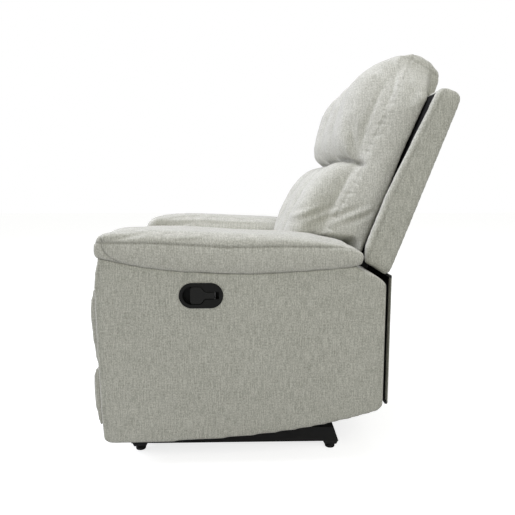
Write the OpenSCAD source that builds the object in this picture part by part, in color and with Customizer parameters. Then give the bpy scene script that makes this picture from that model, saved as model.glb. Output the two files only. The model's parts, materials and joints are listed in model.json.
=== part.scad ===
// Recliner armchair: a padded single seat that rocks on a low base, with a folding
// footrest, a reclining back and a pull latch in the side of one arm.
// Millimetres, +Z up, the sitter faces -Y. The origin is on the floor, at the middle.

/* [Overall] */
// Width over the two arm pillows
chair_w = 980; // [900:1:1180]
// Height of the top of the arm pillows
arm_h = 605; // [560:1:700]
// Length of the leaning back box, from its lower rear corner to its top
back_len = 478; // [380:1:580]
// Lean of the back box at rest, degrees from upright
back_lean = 20.7; // [14:0.1:26]

/* [Arms] */
// Width of an arm box, from its inner face to its outer face
arm_w = 193; // [150:1:230]
// Front face of the arm boxes
arm_front_y = -430; // [-460:1:-400]
// Rear face of the arm boxes
arm_rear_y = 282; // [260:1:300]
// How far a pillow stands out past the outer panel
pillow_over_out = 12; // [4:1:24]
// How far a pillow stands in past the inner panel
pillow_over_in = 15; // [4:1:18]
// How far the nose of a pillow stands ahead of the arm box
pillow_nose = 29; // [10:1:40]
// Thickness of the arm panels
panel_t = 8; // [5:1:12]
// Lowest point of the side panels above the floor
panel_low_z = 57; // [50:1:90]
// Rise of the side panels' lower edge, from front to rear
panel_sweep = 80; // [20:1:110]
// Height of the lowest point of the arms' top line, under the pillow
arm_line_z = 496; // [470:1:520]
// Thickness of the board under each pillow
arm_board_t = 12; // [8:1:18]
// Side of the square posts inside the arms
post_s = 40; // [25:1:50]

/* [Seat] */
// Top of the seat cushion
seat_h = 482; // [460:1:484]
// Thickness of the seat cushion
seat_t = 75; // [60:1:78]
// Gap between a cushion and the panel beside it
cushion_gap = 6; // [3:1:10]
// Width of the wooden side rails of the seat
seat_rail_w = 18; // [14:1:24]
// Number of zigzag seat springs
seat_spring_n = 4; // [3:1:6]
// Thickness of the zigzag wire
wire_t = 4; // [2:0.5:6]

/* [Back] */
// Width of the back box
back_w = 864; // [760:1:900]
// Thickness of the back box at its foot
shell_t_low = 88; // [80:1:100]
// Thickness of the back box at its top
shell_t_top = 67; // [60:1:80]
// Thickness of the back box panels
shell_panel_t = 7; // [4:1:9]
// Recline pivot, distance behind the origin
recline_y = 207; // [200:1:214]
// Recline pivot, height
recline_z = 402; // [392:1:410]
// Gap between the back box and the arms, under its foot
shell_gap = 12; // [8:1:16]
// Width of the headrest cushion
headrest_w = 570; // [500:1:600]
// Depth of the headrest cushion, measured from the rear of the back box
headrest_d = 232; // [200:1:250]
// Depth of the lumbar cushion, measured from the rear of the back box
lumbar_d = 268; // [240:1:280]
// Where the crease between the two cushions lies along the back
crease_u = 248; // [220:1:280]
// Thickness of the hanging rear flap
flap_t = 4; // [2:0.5:5]
// Height of the lower hem of the rear flap
flap_low_z = 135; // [115:1:200]

/* [Footrest] */
// Width of the footrest board
foot_w = 850; // [760:1:900]
// Upper edge of the footrest pads when folded
foot_top_z = 453; // [430:1:455]
// Lower edge of the footrest pads when folded
foot_low_z = 83; // [75:1:120]
// Crease between the two footrest pads
foot_crease_z = 248; // [220:1:280]
// Thickness of the footrest board
foot_board_t = 10; // [6:1:14]
// Thickness of the footrest pads
foot_pad_t = 22; // [14:1:26]
// Gap between the folded footrest and the arm boxes
foot_gap = 4; // [3:1:8]
// Length of the links that turn with the drive tube
rear_link_len = 190; // [180:1:205]
// Length of the links that carry the footrest
front_link_len = 270; // [255:1:290]
// Width of a link
link_w = 28; // [22:1:32]
// Thickness of a link
link_t = 4; // [3:0.5:5]
// Gap between links that pass each other
link_gap = 2; // [1:0.5:3]
// Radius of the link pins
link_pin_r = 5; // [3:0.5:7]
// Radial clearance of a running pin
run_gap = 0.05; // [0.02:0.01:0.1]

/* [Base] */
// How far the base's side rails stand in from the outer face of the arms
base_inset = 78; // [40:1:110]
// Front end of the base
base_front_y = -380; // [-390:1:-340]
// Rear end of the base
base_rear_y = 183; // [150:1:220]
// Width of a base rail
base_rail_w = 30; // [22:1:40]
// Height of a base rail
base_rail_h = 40; // [30:1:48]
// Height of a glide under the base
glide_h = 22; // [14:1:30]
// Radius of a glide
glide_r = 13.5; // [9:0.5:15]
// Rocking pivot, distance behind the origin
rock_y = -60; // [-90:1:-30]
// Rocking pivot, height
rock_z = 130; // [120:1:140]
// Radius of the rocking pins
rock_pin_r = 8; // [6:0.5:10]
// Outer radius of a rocker spring
spring_r = 14; // [10:0.5:15]

/* [Latch] */
// Length of the latch plate
latch_len = 110; // [90:1:130]
// Height of the latch plate
latch_h = 64; // [54:1:76]
// Middle of the latch plate, from front to rear
latch_y = -179; // [-200:1:-150]
// Middle of the latch plate, height
latch_z = 444; // [420:1:450]
// Depth of the latch cup
latch_cup_d = 26; // [22:1:34]
// Length of the pull paddle
paddle_len = 35; // [28:1:42]
// Height of the pull paddle
paddle_h = 42; // [34:1:44]

/* [Hidden] */
fine = 48;
soft = 32;
touch = 0.5;           // gap between a soft solid and what it rests on
part_gap = 2;          // gap between a soft solid and another body
eps = 1;               // overrun of a cut

// across the chair
half_w = chair_w / 2;
panel_x = half_w - pillow_over_out;
arm_in_x = panel_x - arm_w;
pillow_in_x = arm_in_x - pillow_over_in;
cushion_x = pillow_in_x - cushion_gap;
seat_rail_x = arm_in_x - seat_rail_w;
plate_t = link_t;
plate_x = seat_rail_x - plate_t;
rear_link_x = plate_x - link_gap - link_t;
front_link_x = rear_link_x - link_gap - link_t;
bracket_x = front_link_x - link_gap - link_t;
base_x = panel_x - base_inset;
base_in_x = base_x - base_rail_w;

// the arms' top line: lowest a little behind the latch, rising to both ends
line_y = -100;
line_front_k = 3.7e-4;
line_rear_k = 1.9e-4;
line_rear_y = recline_y - 11;
function arm_line(y) = arm_line_z + (y < line_y ? line_front_k : line_rear_k) * pow(y - line_y, 2);
line_steps = 8;
line_ys = [for (i = [0 : line_steps]) arm_front_y + (line_rear_y - arm_front_y) * i / line_steps];

// the round rear corner of the arms follows the sweep of the back box
sweep_r = 113;
cap_r = sweep_r - shell_gap;
cap_from = acos((arm_rear_y - recline_y) / cap_r);
cap_to = 82;
cap_steps = 6;
function cap_arc(r) = [for (i = [0 : cap_steps])
  let (a = cap_from + (cap_to - cap_from) * i / cap_steps)
  [recline_y + r * cos(a), recline_z + r * sin(a)]];

// the side panels' lower edge rises faster towards the rear
edge_steps = 6;
function low_edge(s) = panel_low_z + panel_sweep * (0.2 * s + 0.8 * pow(s, 3));
panel_corner = 14;
side_outline = concat(
  [[arm_front_y, panel_low_z + panel_corner], [arm_front_y + panel_corner, panel_low_z]],
  [for (i = [1 : edge_steps]) let (s = i / edge_steps)
    [arm_front_y + panel_corner + (arm_rear_y - arm_front_y - 2 * panel_corner) * s, low_edge(s)]],
  [[arm_rear_y, panel_low_z + panel_sweep + panel_corner]],
  cap_arc(cap_r),
  [for (i = [line_steps : -1 : 0]) [line_ys[i], arm_line(line_ys[i]) - touch]]);

// frame inside the arms
arm_rail_w = 32;
arm_rail_h = 40;
arm_rail_z = 160;
arm_inner_z = 150;     // lower edge of the inner, rear and front frame parts
plate_gap = 2;
cam_t = 6;
rock_out_x = base_x - 14;
cam_x = rock_out_x - plate_gap - 2 * cam_t;
arm_rail_x = cam_x - arm_rail_w;
post_gap = 9.5;
post_x = cam_x + post_gap;

// seat box
deck_z = seat_h - seat_t;
rail_top_z = deck_z - wire_t - touch;
front_rail_h = 20;
rear_rail_h = 40;
seat_rail_z = 300;
seat_rail_h = 45;
seat_front_y = arm_front_y + 2;
front_rail_y = arm_front_y + 18;
rail_d = 20;
rear_rail_y = 152;
seat_rear_y = rear_rail_y - 2;

// footrest linkage: drive pivot, knee and footrest pivot, folded
drive_y = -250;
drive_z = 360;
foot_piv_y = arm_front_y + 30;
foot_piv_z = 360;
drive_r = 11;
journal_r = 8;
reach = norm([foot_piv_y - drive_y, foot_piv_z - drive_z]);
aim = atan2(foot_piv_z - drive_z, foot_piv_y - drive_y);
bend = acos((pow(rear_link_len, 2) + pow(reach, 2) - pow(front_link_len, 2)) / (2 * rear_link_len * reach));
knee_y = drive_y + rear_link_len * cos(aim + bend);
knee_z = drive_z + rear_link_len * sin(aim + bend);
board_y = arm_front_y - foot_gap - foot_board_t;
pad_y = board_y - foot_pad_t;
pad_inset = 5;         // board edge inside the pads' outline

// back box, in its own plane: v runs forward from the rear face, u runs up the back
back_foot = [recline_y + 96, recline_z + 87];
function back_pt(v, u) = [
  back_foot[0] + u * sin(back_lean) - v * cos(back_lean),
  back_foot[1] + u * cos(back_lean) + v * sin(back_lean)];
function back_pts(list) = [for (p = list) back_pt(p[0], p[1])];
shell_x = back_w / 2;
shell_in_x = shell_x - shell_panel_t;
shell_bulge_u = back_len * 0.38;
shell_low_u = 70;
shell_round = 22;
function shell_front(u) = u < shell_bulge_u ? shell_t_low
  : shell_t_low + (shell_t_top - shell_t_low) * (u - shell_bulge_u) / (back_len - shell_bulge_u);
foot_from = 45;
foot_to = 76;
foot_arc = [for (i = [0 : cap_steps])
  let (a = foot_from + (foot_to - foot_from) * i / cap_steps)
  [recline_y + (sweep_r + 2) * cos(a), recline_z + (sweep_r + 2) * sin(a)]];
shell_outline = concat(
  foot_arc,
  [back_pt(shell_t_low, shell_low_u - 30)],
  [back_pt(shell_t_low, shell_bulge_u)],
  [for (i = [0 : 4]) let (a = 90 * i / 4)
    back_pt(shell_t_top - shell_round + shell_round * cos(a),
            back_len - shell_round + shell_round * sin(a))],
  [for (i = [0 : 4]) let (a = 90 + 90 * i / 4)
    back_pt(shell_round + shell_round * cos(a), back_len - shell_round + shell_round * sin(a))],
  [back_pt(0, 0)]);

// frame inside the back
stile_w = 30;
stile_v = 20;
stile_d = 40;
stile_low_u = -46;
stile_top_u = back_len - 34;
back_plate_t = 5;
back_bracket_x = arm_in_x - 2 * back_plate_t - plate_gap;
stile_x = back_bracket_x - stile_w;
recline_pin_r = 7;
recline_eye_r = 20;
strap_n = 4;
strap_w = 50;
strap_t = 2;
headrest_x = headrest_w / 2;
roll_u = back_len + 102;
roll_v = 34;

// rear flap, hung on a rod under the back box
rod_r = 3;
sleeve_t = 2;
rod_y = back_foot[0] + 1;
rod_z = back_foot[1] - 9;
flap_x = shell_x - 2;
hem_h = 6;

// latch in the left arm
latch_lip = 3;
latch_wall = 2.5;
cup_out_len = latch_len - 6;
cup_out_h = latch_h - 6;
cup_in_len = latch_len - 14;
cup_in_h = latch_h - 12;
stem_len = 25;
lever_t = 6;
lever_x = panel_x - 2;
pivot_y = latch_y + 33;
pivot_x = panel_x - 6;
lever_pin_r = 2.5;
lever_eye_r = 6;
stem_w = 16;
paddle_y = pivot_y - stem_len - paddle_len;
lug_t = 5;
lug_gap = 0.6;
cable_r = 2.5;
block_y = drive_y + 44;
block_z = drive_z + 4;
block_s = 12;
block_x = arm_in_x - block_s;
block_len = 40;
plunger_r = 4;
cable_start = [panel_x - latch_cup_d - latch_lip, latch_y + 20, latch_z];
cable_end = [block_x + block_s / 2, block_y + block_len, block_z + block_s / 2];
grommet_r = 9;
cable_path = [
  cable_start,
  cable_start + [-12, 2, 0],
  cable_start + [-26, 14, -2],
  cable_start + [-44, 32, -6],
  cable_start + [-66, 46, -12],
  cable_start + [-90, 56, -20],
  [arm_in_x + panel_t + 26, latch_y + 92, latch_z - 34],
  [arm_in_x + panel_t + 8, latch_y + 100, latch_z - 40],
  [arm_in_x + panel_t / 2, latch_y + 102, latch_z - 44],
  [arm_in_x - 4, latch_y + 98, latch_z - 52],
  [cable_end[0] + 2, latch_y + 84, latch_z - 64],
  [cable_end[0], cable_end[1] + 30, cable_end[2] + 4],
  [cable_end[0], cable_end[1] + 14, cable_end[2]],
  cable_end];
hole_y = latch_y + 102;
hole_z = latch_z - 44;

module both() { children(); mirror([1, 0, 0]) children(); }

// an outline in the Y-Z plane, extruded along X from x0 to x1
module across(x0, x1, pts) {
  translate([x0, 0, 0]) rotate([90, 0, 90]) linear_extrude(x1 - x0) polygon(pts);
}

// a box given by its two corners
module block(a, b) { translate(a) cube(b - a); }

// a round bar along X
module bar_x(r, x0, x1, y, z) {
  translate([x0, y, z]) rotate([0, 90, 0]) cylinder(r = r, h = x1 - x0, $fn = fine);
}

// a stadium in the Y-Z plane, extruded along X
module stadium(x0, x1, len, high, y, z) {
  translate([x0, y, z]) rotate([90, 0, 90]) linear_extrude(x1 - x0) union() {
    square([len - high, high], center = true);
    for (s = [-1, 1]) translate([s * (len - high) / 2, 0]) circle(d = high, $fn = fine);
  }
}

// a flat link with round ends and a bore at each end
module link(x0, y0, z0, y1, z1, bore0, bore1) {
  dir = atan2(z1 - z0, y1 - y0);
  len = norm([y1 - y0, z1 - z0]);
  difference() {
    translate([x0, y0, z0]) rotate([90, 0, 90]) rotate(dir) linear_extrude(link_t) union() {
      translate([0, -link_w / 2]) square([len, link_w]);
      for (s = [0, 1]) translate([s * len, 0]) circle(d = link_w, $fn = fine);
    }
    bar_x(bore0, x0 - eps, x0 + link_t + eps, y0, z0);
    bar_x(bore1, x0 - eps, x0 + link_t + eps, y1, z1);
  }
}

// a soft bar along X with rounded long edges, from round edge bars [y, z, r]
module soft_bar(x0, x1, edges, end_r) {
  hull() for (e = edges) translate([x0 + end_r, e[0], e[1]]) rotate([0, 90, 0]) {
    cylinder(r = e[2], h = x1 - x0 - 2 * end_r, $fn = soft);
    translate([0, 0, -end_r]) cylinder(r = e[2] * 0.7, h = x1 - x0, $fn = soft);
  }
}

// a zigzag wire in the X-Y plane, running along Y
module zigzag(len, wide, pitch) {
  n = floor(len / pitch);
  linear_extrude(wire_t) union() {
    for (i = [0 : n]) translate([-wide / 2, i * pitch]) square([wide, wire_t]);
    for (i = [0 : n - 1]) translate([i % 2 == 0 ? wide / 2 - wire_t : -wide / 2, i * pitch])
      square([wire_t, pitch + wire_t]);
    translate([-wire_t / 2, n * pitch]) square([wire_t, len - n * pitch]);
  }
}

// a round tube swept along a list of points
function unit(v) = v / norm(v);
function tangent(p, i) = unit(p[min(i + 1, len(p) - 1)] - p[max(i - 1, 0)]);
module tube_along(p, r, sides) {
  rings = [for (i = [0 : len(p) - 1]) let (t = tangent(p, i), a = unit(cross(t, [0, 0, 1])), b = cross(t, a))
    for (k = [0 : sides - 1]) p[i] + r * (cos(360 * k / sides) * a + sin(360 * k / sides) * b)];
  last = (len(p) - 1) * sides;
  polyhedron(rings, concat(
    [[for (k = [0 : sides - 1]) k]],
    [for (i = [0 : len(p) - 2]) for (k = [0 : sides - 1]) let (m = (k + 1) % sides)
      [i * sides + k, (i + 1) * sides + k, (i + 1) * sides + m, i * sides + m]],
    [[for (k = [sides - 1 : -1 : 0]) last + k]]));
}

// ---- base ----
module base_side_rails() { color("#1c1c1e") both()
  across(base_in_x, base_x, [
    [base_front_y, glide_h], [base_rear_y, glide_h],
    [base_rear_y - 14, glide_h + base_rail_h], [base_front_y + 14, glide_h + base_rail_h]]);
}
cross_front_y = base_front_y + 14;
cross_rear_y = base_rear_y - 63;
module base_cross_rails() { color("#1c1c1e") for (y = [cross_front_y, cross_rear_y])
  block([-base_in_x, y, glide_h], [base_in_x, y + base_rail_w, glide_h + base_rail_h]);
}
module base_glides() { color("#111113") both()
  for (y = [base_front_y + 23.5, base_rear_y - 21.5])
    translate([base_x - base_rail_w / 2, y, 0]) cylinder(r = glide_r, h = glide_h, $fn = fine);
}
bracket_top_r = 20;
module rocker_brackets() { color("#3a3a3d") both() difference() {
  union() {
    across(rock_out_x - cam_t, rock_out_x, [
      [rock_y - 50, glide_h + base_rail_h], [rock_y + 50, glide_h + base_rail_h],
      [rock_y + bracket_top_r, rock_z], [rock_y - bracket_top_r, rock_z]]);
    bar_x(bracket_top_r, rock_out_x - cam_t, rock_out_x, rock_y, rock_z);
  }
  bar_x(rock_pin_r, rock_out_x - cam_t - eps, rock_out_x + eps, rock_y, rock_z);
}}
module rocker_pins() { color("silver") both()
  bar_x(rock_pin_r, cam_x - 2, rock_out_x + 4, rock_y, rock_z);
}
module rocker_springs() { color("dimgray") both() for (y = [cross_front_y, cross_rear_y])
  translate([arm_rail_x + arm_rail_w / 2 - 6, y + base_rail_w / 2, glide_h + base_rail_h]) difference() {
    cylinder(r = spring_r, h = arm_rail_z - glide_h - base_rail_h, $fn = fine);
    translate([0, 0, -eps]) cylinder(r = spring_r - wire_t, h = arm_rail_z, $fn = fine);
  }
}

// ---- rocking body: arm frames ----
module rocker_cams() { color("#3a3a3d") both() difference() {
  union() {
    across(cam_x, cam_x + cam_t, [
      [rock_y - 60, arm_rail_z + arm_rail_h], [rock_y - 60, arm_rail_z + 6],
      [rock_y - bracket_top_r, rock_z], [rock_y + bracket_top_r, rock_z],
      [rock_y + 60, arm_rail_z + 6], [rock_y + 60, arm_rail_z + arm_rail_h]]);
    bar_x(bracket_top_r, cam_x, cam_x + cam_t, rock_y, rock_z);
  }
  bar_x(rock_pin_r + run_gap, cam_x - eps, cam_x + cam_t + eps, rock_y, rock_z);
}}
module arm_base_rails() { color("tan") both()
  block([arm_rail_x, arm_front_y + panel_t, arm_rail_z],
        [cam_x, arm_rear_y - panel_t, arm_rail_z + arm_rail_h]);
}
module arm_post(y0, y1, z1) {
  block([post_x, y0, arm_rail_z], [post_x + post_s, y1, z1]);
}
post_front_z = arm_line_z - arm_board_t - 14;
post_rear_z = recline_z + 34;
module arm_front_posts() { color("burlywood") both()
  arm_post(arm_front_y + panel_t, arm_front_y + panel_t + post_s, post_front_z);
}
module arm_rear_posts() { color("burlywood") both()
  arm_post(arm_rear_y - panel_t - post_s, arm_rear_y - panel_t, post_rear_z);
}
module arm_top_rails() { color("tan") both()
  block([post_x, arm_front_y + panel_t + post_s, post_front_z - 30],
        [post_x + 18, recline_y - 20, post_front_z]);
}
module arm_top_boards() { color("#cbb58e") both()
  across(arm_in_x + panel_t, panel_x - panel_t, concat(
    [for (y = line_ys) [max(y, arm_front_y + panel_t), arm_line(y) - touch - arm_board_t]],
    [for (i = [line_steps : -1 : 0])
      [max(line_ys[i], arm_front_y + panel_t), arm_line(line_ys[i]) - touch]]));
}
module left_outer_panel() { color("#b9bbb2") difference() {
  across(panel_x - panel_t, panel_x, side_outline);
  stadium(panel_x - panel_t - eps, panel_x + eps, cup_out_len + touch, cup_out_h + touch, latch_y, latch_z);
}}
module right_outer_panel() { color("#b9bbb2") mirror([1, 0, 0])
  across(panel_x - panel_t, panel_x, side_outline);
}
module inner_panel() {
  intersection() {
    across(arm_in_x, arm_in_x + panel_t, side_outline);
    block([arm_in_x - eps, -half_w, arm_inner_z], [arm_in_x + panel_t + eps, half_w, arm_h]);
  }
}
module arm_inner_panels() { color("#b9bbb2") {
  mirror([1, 0, 0]) inner_panel();
  difference() {
    inner_panel();
    bar_x(grommet_r, arm_in_x - eps, arm_in_x + panel_t + eps, hole_y, hole_z);
  }
}}
module arm_front_panels() { color("#c6c8c0") both()
  block([arm_in_x + panel_t, arm_front_y, panel_low_z + panel_corner],
        [panel_x - panel_t, arm_front_y + panel_t, arm_line(arm_front_y) - touch - arm_board_t]);
}
module arm_rear_panels() { color("#b9bbb2") both()
  block([arm_in_x + panel_t, arm_rear_y - panel_t, panel_low_z + panel_sweep + panel_corner],
        [panel_x - panel_t, arm_rear_y, recline_z + cap_r * sin(cap_from) - 10]);
}
module arm_rear_caps() { color("#b9bbb2") both()
  across(arm_in_x + panel_t, panel_x - panel_t,
    concat(cap_arc(cap_r), [for (i = [cap_steps : -1 : 0]) cap_arc(cap_r - panel_t)[i]]));
}

// ---- arm pillows ----
nose_r = 36;
pillow_rear_y = recline_y + 8;
module arm_pillow() {
  soft_bar(pillow_in_x, half_w, [
    [arm_front_y - pillow_nose + nose_r, arm_line(arm_front_y) + nose_r + 2, nose_r],
    [arm_front_y + 110, arm_h - 30, 30],
    [line_y - 40, arm_h - 30, 30],
    [line_y + 110, arm_h - 17 - 30, 30],
    [line_y - 60, arm_line_z + 26, 24],
    [line_y + 60, arm_line_z + 26, 24],
    [pillow_rear_y - 24, arm_h - 40 - 24, 24],
    [pillow_rear_y - 16, arm_line(line_rear_y) + 16 + part_gap, 16]], 12);
}
module trimmed_pillow() { difference() {
  arm_pillow();
  across(pillow_in_x - eps, half_w + eps, concat(
    [[arm_front_y - 2 * pillow_nose, arm_line(arm_front_y)]],
    [for (y = line_ys) [y, arm_line(y)]],
    [[pillow_rear_y + 30, arm_line(line_rear_y)], [pillow_rear_y + 30, 0],
     [arm_front_y - 2 * pillow_nose, 0]]));
}}
module left_arm_pillow() { color("#c9cbc4") trimmed_pillow(); }
module right_arm_pillow() { color("#c9cbc4") mirror([1, 0, 0]) trimmed_pillow(); }

// ---- seat ----
module seat_side_rails() { color("tan") both()
  block([seat_rail_x, front_rail_y, seat_rail_z],
        [arm_in_x, rear_rail_y, seat_rail_z + seat_rail_h]);
}
module seat_front_rail() { color("tan")
  block([-arm_in_x, front_rail_y, rail_top_z - front_rail_h],
        [arm_in_x, front_rail_y + rail_d, rail_top_z]);
}
module seat_rear_rail() { color("tan")
  block([-arm_in_x, rear_rail_y, rail_top_z - rear_rail_h],
        [arm_in_x, rear_rail_y + rail_d, rail_top_z]);
}
spring_pitch = 40;
spring_wide = 60;
module seat_springs() { color("gray") for (i = [0 : seat_spring_n - 1])
  translate([cushion_x * (2 * (i + 0.5) / seat_spring_n - 1), front_rail_y + 4, rail_top_z])
    zigzag(rear_rail_y + rail_d - front_rail_y - 8, spring_wide, spring_pitch);
}
module seat_cushion() { color("#c9cbc4")
  soft_bar(-cushion_x, cushion_x, [
    [seat_front_y + 28, seat_h - 28, 28],
    [seat_front_y + 14, deck_z + 14, 14],
    [seat_rear_y - 16, seat_h - 6 - 16, 16],
    [seat_rear_y - 12, deck_z + 12, 12]], 10);
}

// ---- footrest mechanism ----
module mechanism_plates() { color("#3a3a3d") both() difference() {
  across(plate_x, plate_x + plate_t, [
    [drive_y - 40, seat_rail_z + 4], [rear_rail_y - 20, seat_rail_z + 4],
    [rear_rail_y - 20, seat_rail_z + seat_rail_h - 4], [drive_y + 50, seat_rail_z + seat_rail_h - 4],
    [drive_y + 22, drive_z + 20], [drive_y - 22, drive_z + 20], [drive_y - 40, drive_z - 10]]);
  bar_x(journal_r + run_gap, plate_x - eps, plate_x + plate_t + eps, drive_y, drive_z);
}}
module drive_tube() { color("#55565a") {
  bar_x(drive_r, -rear_link_x, rear_link_x, drive_y, drive_z);
  both() bar_x(journal_r, rear_link_x, plate_x + plate_t + 2, drive_y, drive_z);
}}
module rear_links() { color("#55565a") both()
  link(rear_link_x, drive_y, drive_z, knee_y, knee_z, journal_r, link_pin_r + run_gap);
}
module knee_pins() { color("silver") both() {
  bar_x(link_pin_r, front_link_x, rear_link_x + link_t + 1.5, knee_y, knee_z);
}}
module front_links() { color("#55565a") both()
  link(front_link_x, knee_y, knee_z, foot_piv_y, foot_piv_z, link_pin_r, link_pin_r);
}
module footrest_pins() { color("silver") both()
  bar_x(link_pin_r, bracket_x - 1.5, front_link_x + link_t, foot_piv_y, foot_piv_z);
}
module footrest_brackets() { color("#55565a") both() difference() {
  union() {
    across(bracket_x, bracket_x + link_t, [
      [board_y + foot_board_t, foot_piv_z - 70], [foot_piv_y - 15, foot_piv_z - 50],
      [foot_piv_y, foot_piv_z - link_w / 2], [foot_piv_y, foot_piv_z + link_w / 2],
      [foot_piv_y - 15, foot_piv_z + link_w / 2 + 4], [foot_piv_y - 15, deck_z - 4],
      [board_y + foot_board_t, deck_z - 4]]);
    bar_x(link_w / 2, bracket_x, bracket_x + link_t, foot_piv_y, foot_piv_z);
  }
  bar_x(link_pin_r + run_gap, bracket_x - eps, bracket_x + link_t + eps, foot_piv_y, foot_piv_z);
}}
module footrest_board() { color("burlywood")
  block([-foot_w / 2, board_y, foot_low_z + pad_inset],
        [foot_w / 2, board_y + foot_board_t, foot_top_z - pad_inset]);
}
module foot_pad(z0, z1) {
  edge_r = foot_pad_t / 2;
  soft_bar(-foot_w / 2 - pad_inset, foot_w / 2 + pad_inset, [
    [board_y - touch - edge_r * 0.9, z0 + edge_r * 0.9, edge_r * 0.9],
    [board_y - touch - edge_r * 0.9, z1 - edge_r * 0.9, edge_r * 0.9],
    [pad_y + edge_r, z0 + 40, edge_r], [pad_y + edge_r, z1 - 40, edge_r]], 8);
}
module footrest_upper_pad() { color("#c9cbc4") foot_pad(foot_crease_z + 1, foot_top_z); }
module footrest_lower_pad() { color("#c9cbc4") foot_pad(foot_low_z, foot_crease_z - 1); }

// ---- recline pivots ----
module back_pivot_plates() { color("#3a3a3d") both() difference() {
  union() {
    across(arm_in_x - back_plate_t, arm_in_x, [
      [recline_y - 30, recline_z - 60], [recline_y + 10, recline_z - 60],
      [recline_y + recline_eye_r, recline_z], [recline_y - recline_eye_r, recline_z]]);
    bar_x(recline_eye_r, arm_in_x - back_plate_t, arm_in_x, recline_y, recline_z);
  }
  bar_x(recline_pin_r, arm_in_x - back_plate_t - eps, arm_in_x + eps, recline_y, recline_z);
}}
module back_pivot_pins() { color("silver") both()
  bar_x(recline_pin_r, back_bracket_x - 2, arm_in_x, recline_y, recline_z);
}
bracket_tail = 26;
module back_brackets() { color("#55565a") both() difference() {
  union() {
    across(back_bracket_x, back_bracket_x + back_plate_t, [
      [recline_y - recline_eye_r, recline_z], [recline_y + recline_eye_r, recline_z],
      back_pt(stile_v, stile_low_u + 30), back_pt(stile_v, stile_low_u + 120),
      back_pt(stile_v + bracket_tail, stile_low_u + 120), back_pt(stile_v + stile_d, stile_low_u + 30)]);
    bar_x(recline_eye_r, back_bracket_x, back_bracket_x + back_plate_t, recline_y, recline_z);
  }
  bar_x(recline_pin_r + run_gap, back_bracket_x - eps, back_bracket_x + back_plate_t + eps,
        recline_y, recline_z);
}}

// ---- back ----
module back_stiles() { color("tan") both()
  across(stile_x, back_bracket_x, back_pts([
    [stile_v, stile_low_u], [stile_v, stile_top_u],
    [stile_v + stile_d - 4, stile_top_u], [stile_v + stile_d, stile_low_u]]));
}
rail_us = [10, crease_u - 20, stile_top_u - 50];
module back_cross_rails() { color("tan") for (u = rail_us)
  across(-stile_x, stile_x, back_pts([
    [stile_v, u], [stile_v, u + 50], [stile_v + 20, u + 50], [stile_v + 20, u]]));
}
module back_webbing() { color("#5a5148") for (i = [0 : strap_n - 1])
  let (u = 70 + (stile_top_u - 190) * i / (strap_n - 1), v = stile_v + 24)
  across(-stile_x, stile_x, back_pts([
    [v, u], [v, u + strap_w], [v + strap_t, u + strap_w], [v + strap_t, u]]));
}
module shell_side() { across(shell_in_x, shell_x, shell_outline); }
module left_shell_side() { color("#bfc1b9") shell_side(); }
module right_shell_side() { color("#bfc1b9") mirror([1, 0, 0]) shell_side(); }
module shell_rear_panel() { color("#bfc1b9")
  across(-shell_in_x, shell_in_x, back_pts([
    [0, 0], [0, back_len - shell_round],
    [shell_panel_t, back_len - shell_round], [shell_panel_t, 0]]));
}
module shell_front_panel() { color("#bfc1b9")
  across(-shell_in_x, shell_in_x, back_pts([
    [shell_front(0), shell_low_u], [shell_front(0), shell_bulge_u],
    [shell_front(back_len - shell_round), back_len - shell_round],
    [shell_front(back_len - shell_round) - shell_panel_t, back_len - shell_round],
    [shell_front(0) - shell_panel_t, shell_bulge_u], [shell_front(0) - shell_panel_t, shell_low_u]]));
}
module shell_top_cap() { color("#bfc1b9")
  across(-shell_in_x, shell_in_x, back_pts(concat(
    [for (i = [0 : 4]) let (a = 90 * i / 4)
      [shell_t_top - shell_round + shell_round * cos(a), back_len - shell_round + shell_round * sin(a)]],
    [for (i = [0 : 4]) let (a = 90 + 90 * i / 4)
      [shell_round + shell_round * cos(a), back_len - shell_round + shell_round * sin(a)]],
    [[shell_panel_t, back_len - shell_round], [shell_t_top - shell_panel_t, back_len - shell_round]])));
}
// round edge bars of a back cushion, from [v, u, r] in the plane of the back
function back_bars(list) = [for (e = list) [back_pt(e[0], e[1])[0], back_pt(e[0], e[1])[1], e[2]]];
head_hug = 26;
module headrest_cushion() { color("#c9cbc4") difference() {
  soft_bar(-headrest_x, headrest_x, back_bars([
    [shell_t_low + 12, crease_u + 14, 10],
    [headrest_d - 30, crease_u + 34, 26],
    [headrest_d - 40, crease_u + 170, 40],
    [headrest_d - 56, back_len - 20, 40],
    [roll_v + 60, roll_u - 46, 45],
    [roll_v + 28, roll_u - 34, 28]]), head_hug);
  across(-headrest_x - eps, headrest_x + eps, back_pts([
    [-100, 0], [shell_t_low + part_gap, 0], [shell_t_low + part_gap, shell_bulge_u],
    [shell_t_top + part_gap, back_len + part_gap], [-100, back_len + part_gap]]));
}}
module lumbar_cushion() { color("#c9cbc4")
  soft_bar(-cushion_x, cushion_x, back_bars([
    [shell_t_low + 20, -20, 16],
    [shell_t_low + 20, crease_u - 18, 16],
    [lumbar_d - 62, crease_u - 30, 26],
    [lumbar_d - 38, crease_u - 110, 34],
    [lumbar_d - 34, -40, 34],
    [lumbar_d - 26, -66, 26]]), 12);
}

// ---- rear flap ----
module flap_rod() { color("#3a3a3d") bar_x(rod_r, -shell_in_x, shell_in_x, rod_y, rod_z); }
module rear_flap() { color("#b0b2aa") difference() {
  union() {
    block([-flap_x + 10, rod_y - flap_t / 2, flap_low_z + hem_h], [flap_x - 10, rod_y + flap_t / 2, rod_z]);
    bar_x(rod_r + sleeve_t, -flap_x + 10, flap_x - 10, rod_y, rod_z);
  }
  bar_x(rod_r + 2 * run_gap, -shell_x, shell_x, rod_y, rod_z);
}}
module flap_hem_bar() { color("#77797a")
  block([-flap_x + 10, rod_y - 3, flap_low_z], [flap_x - 10, rod_y + 3, flap_low_z + hem_h]);
}

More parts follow.
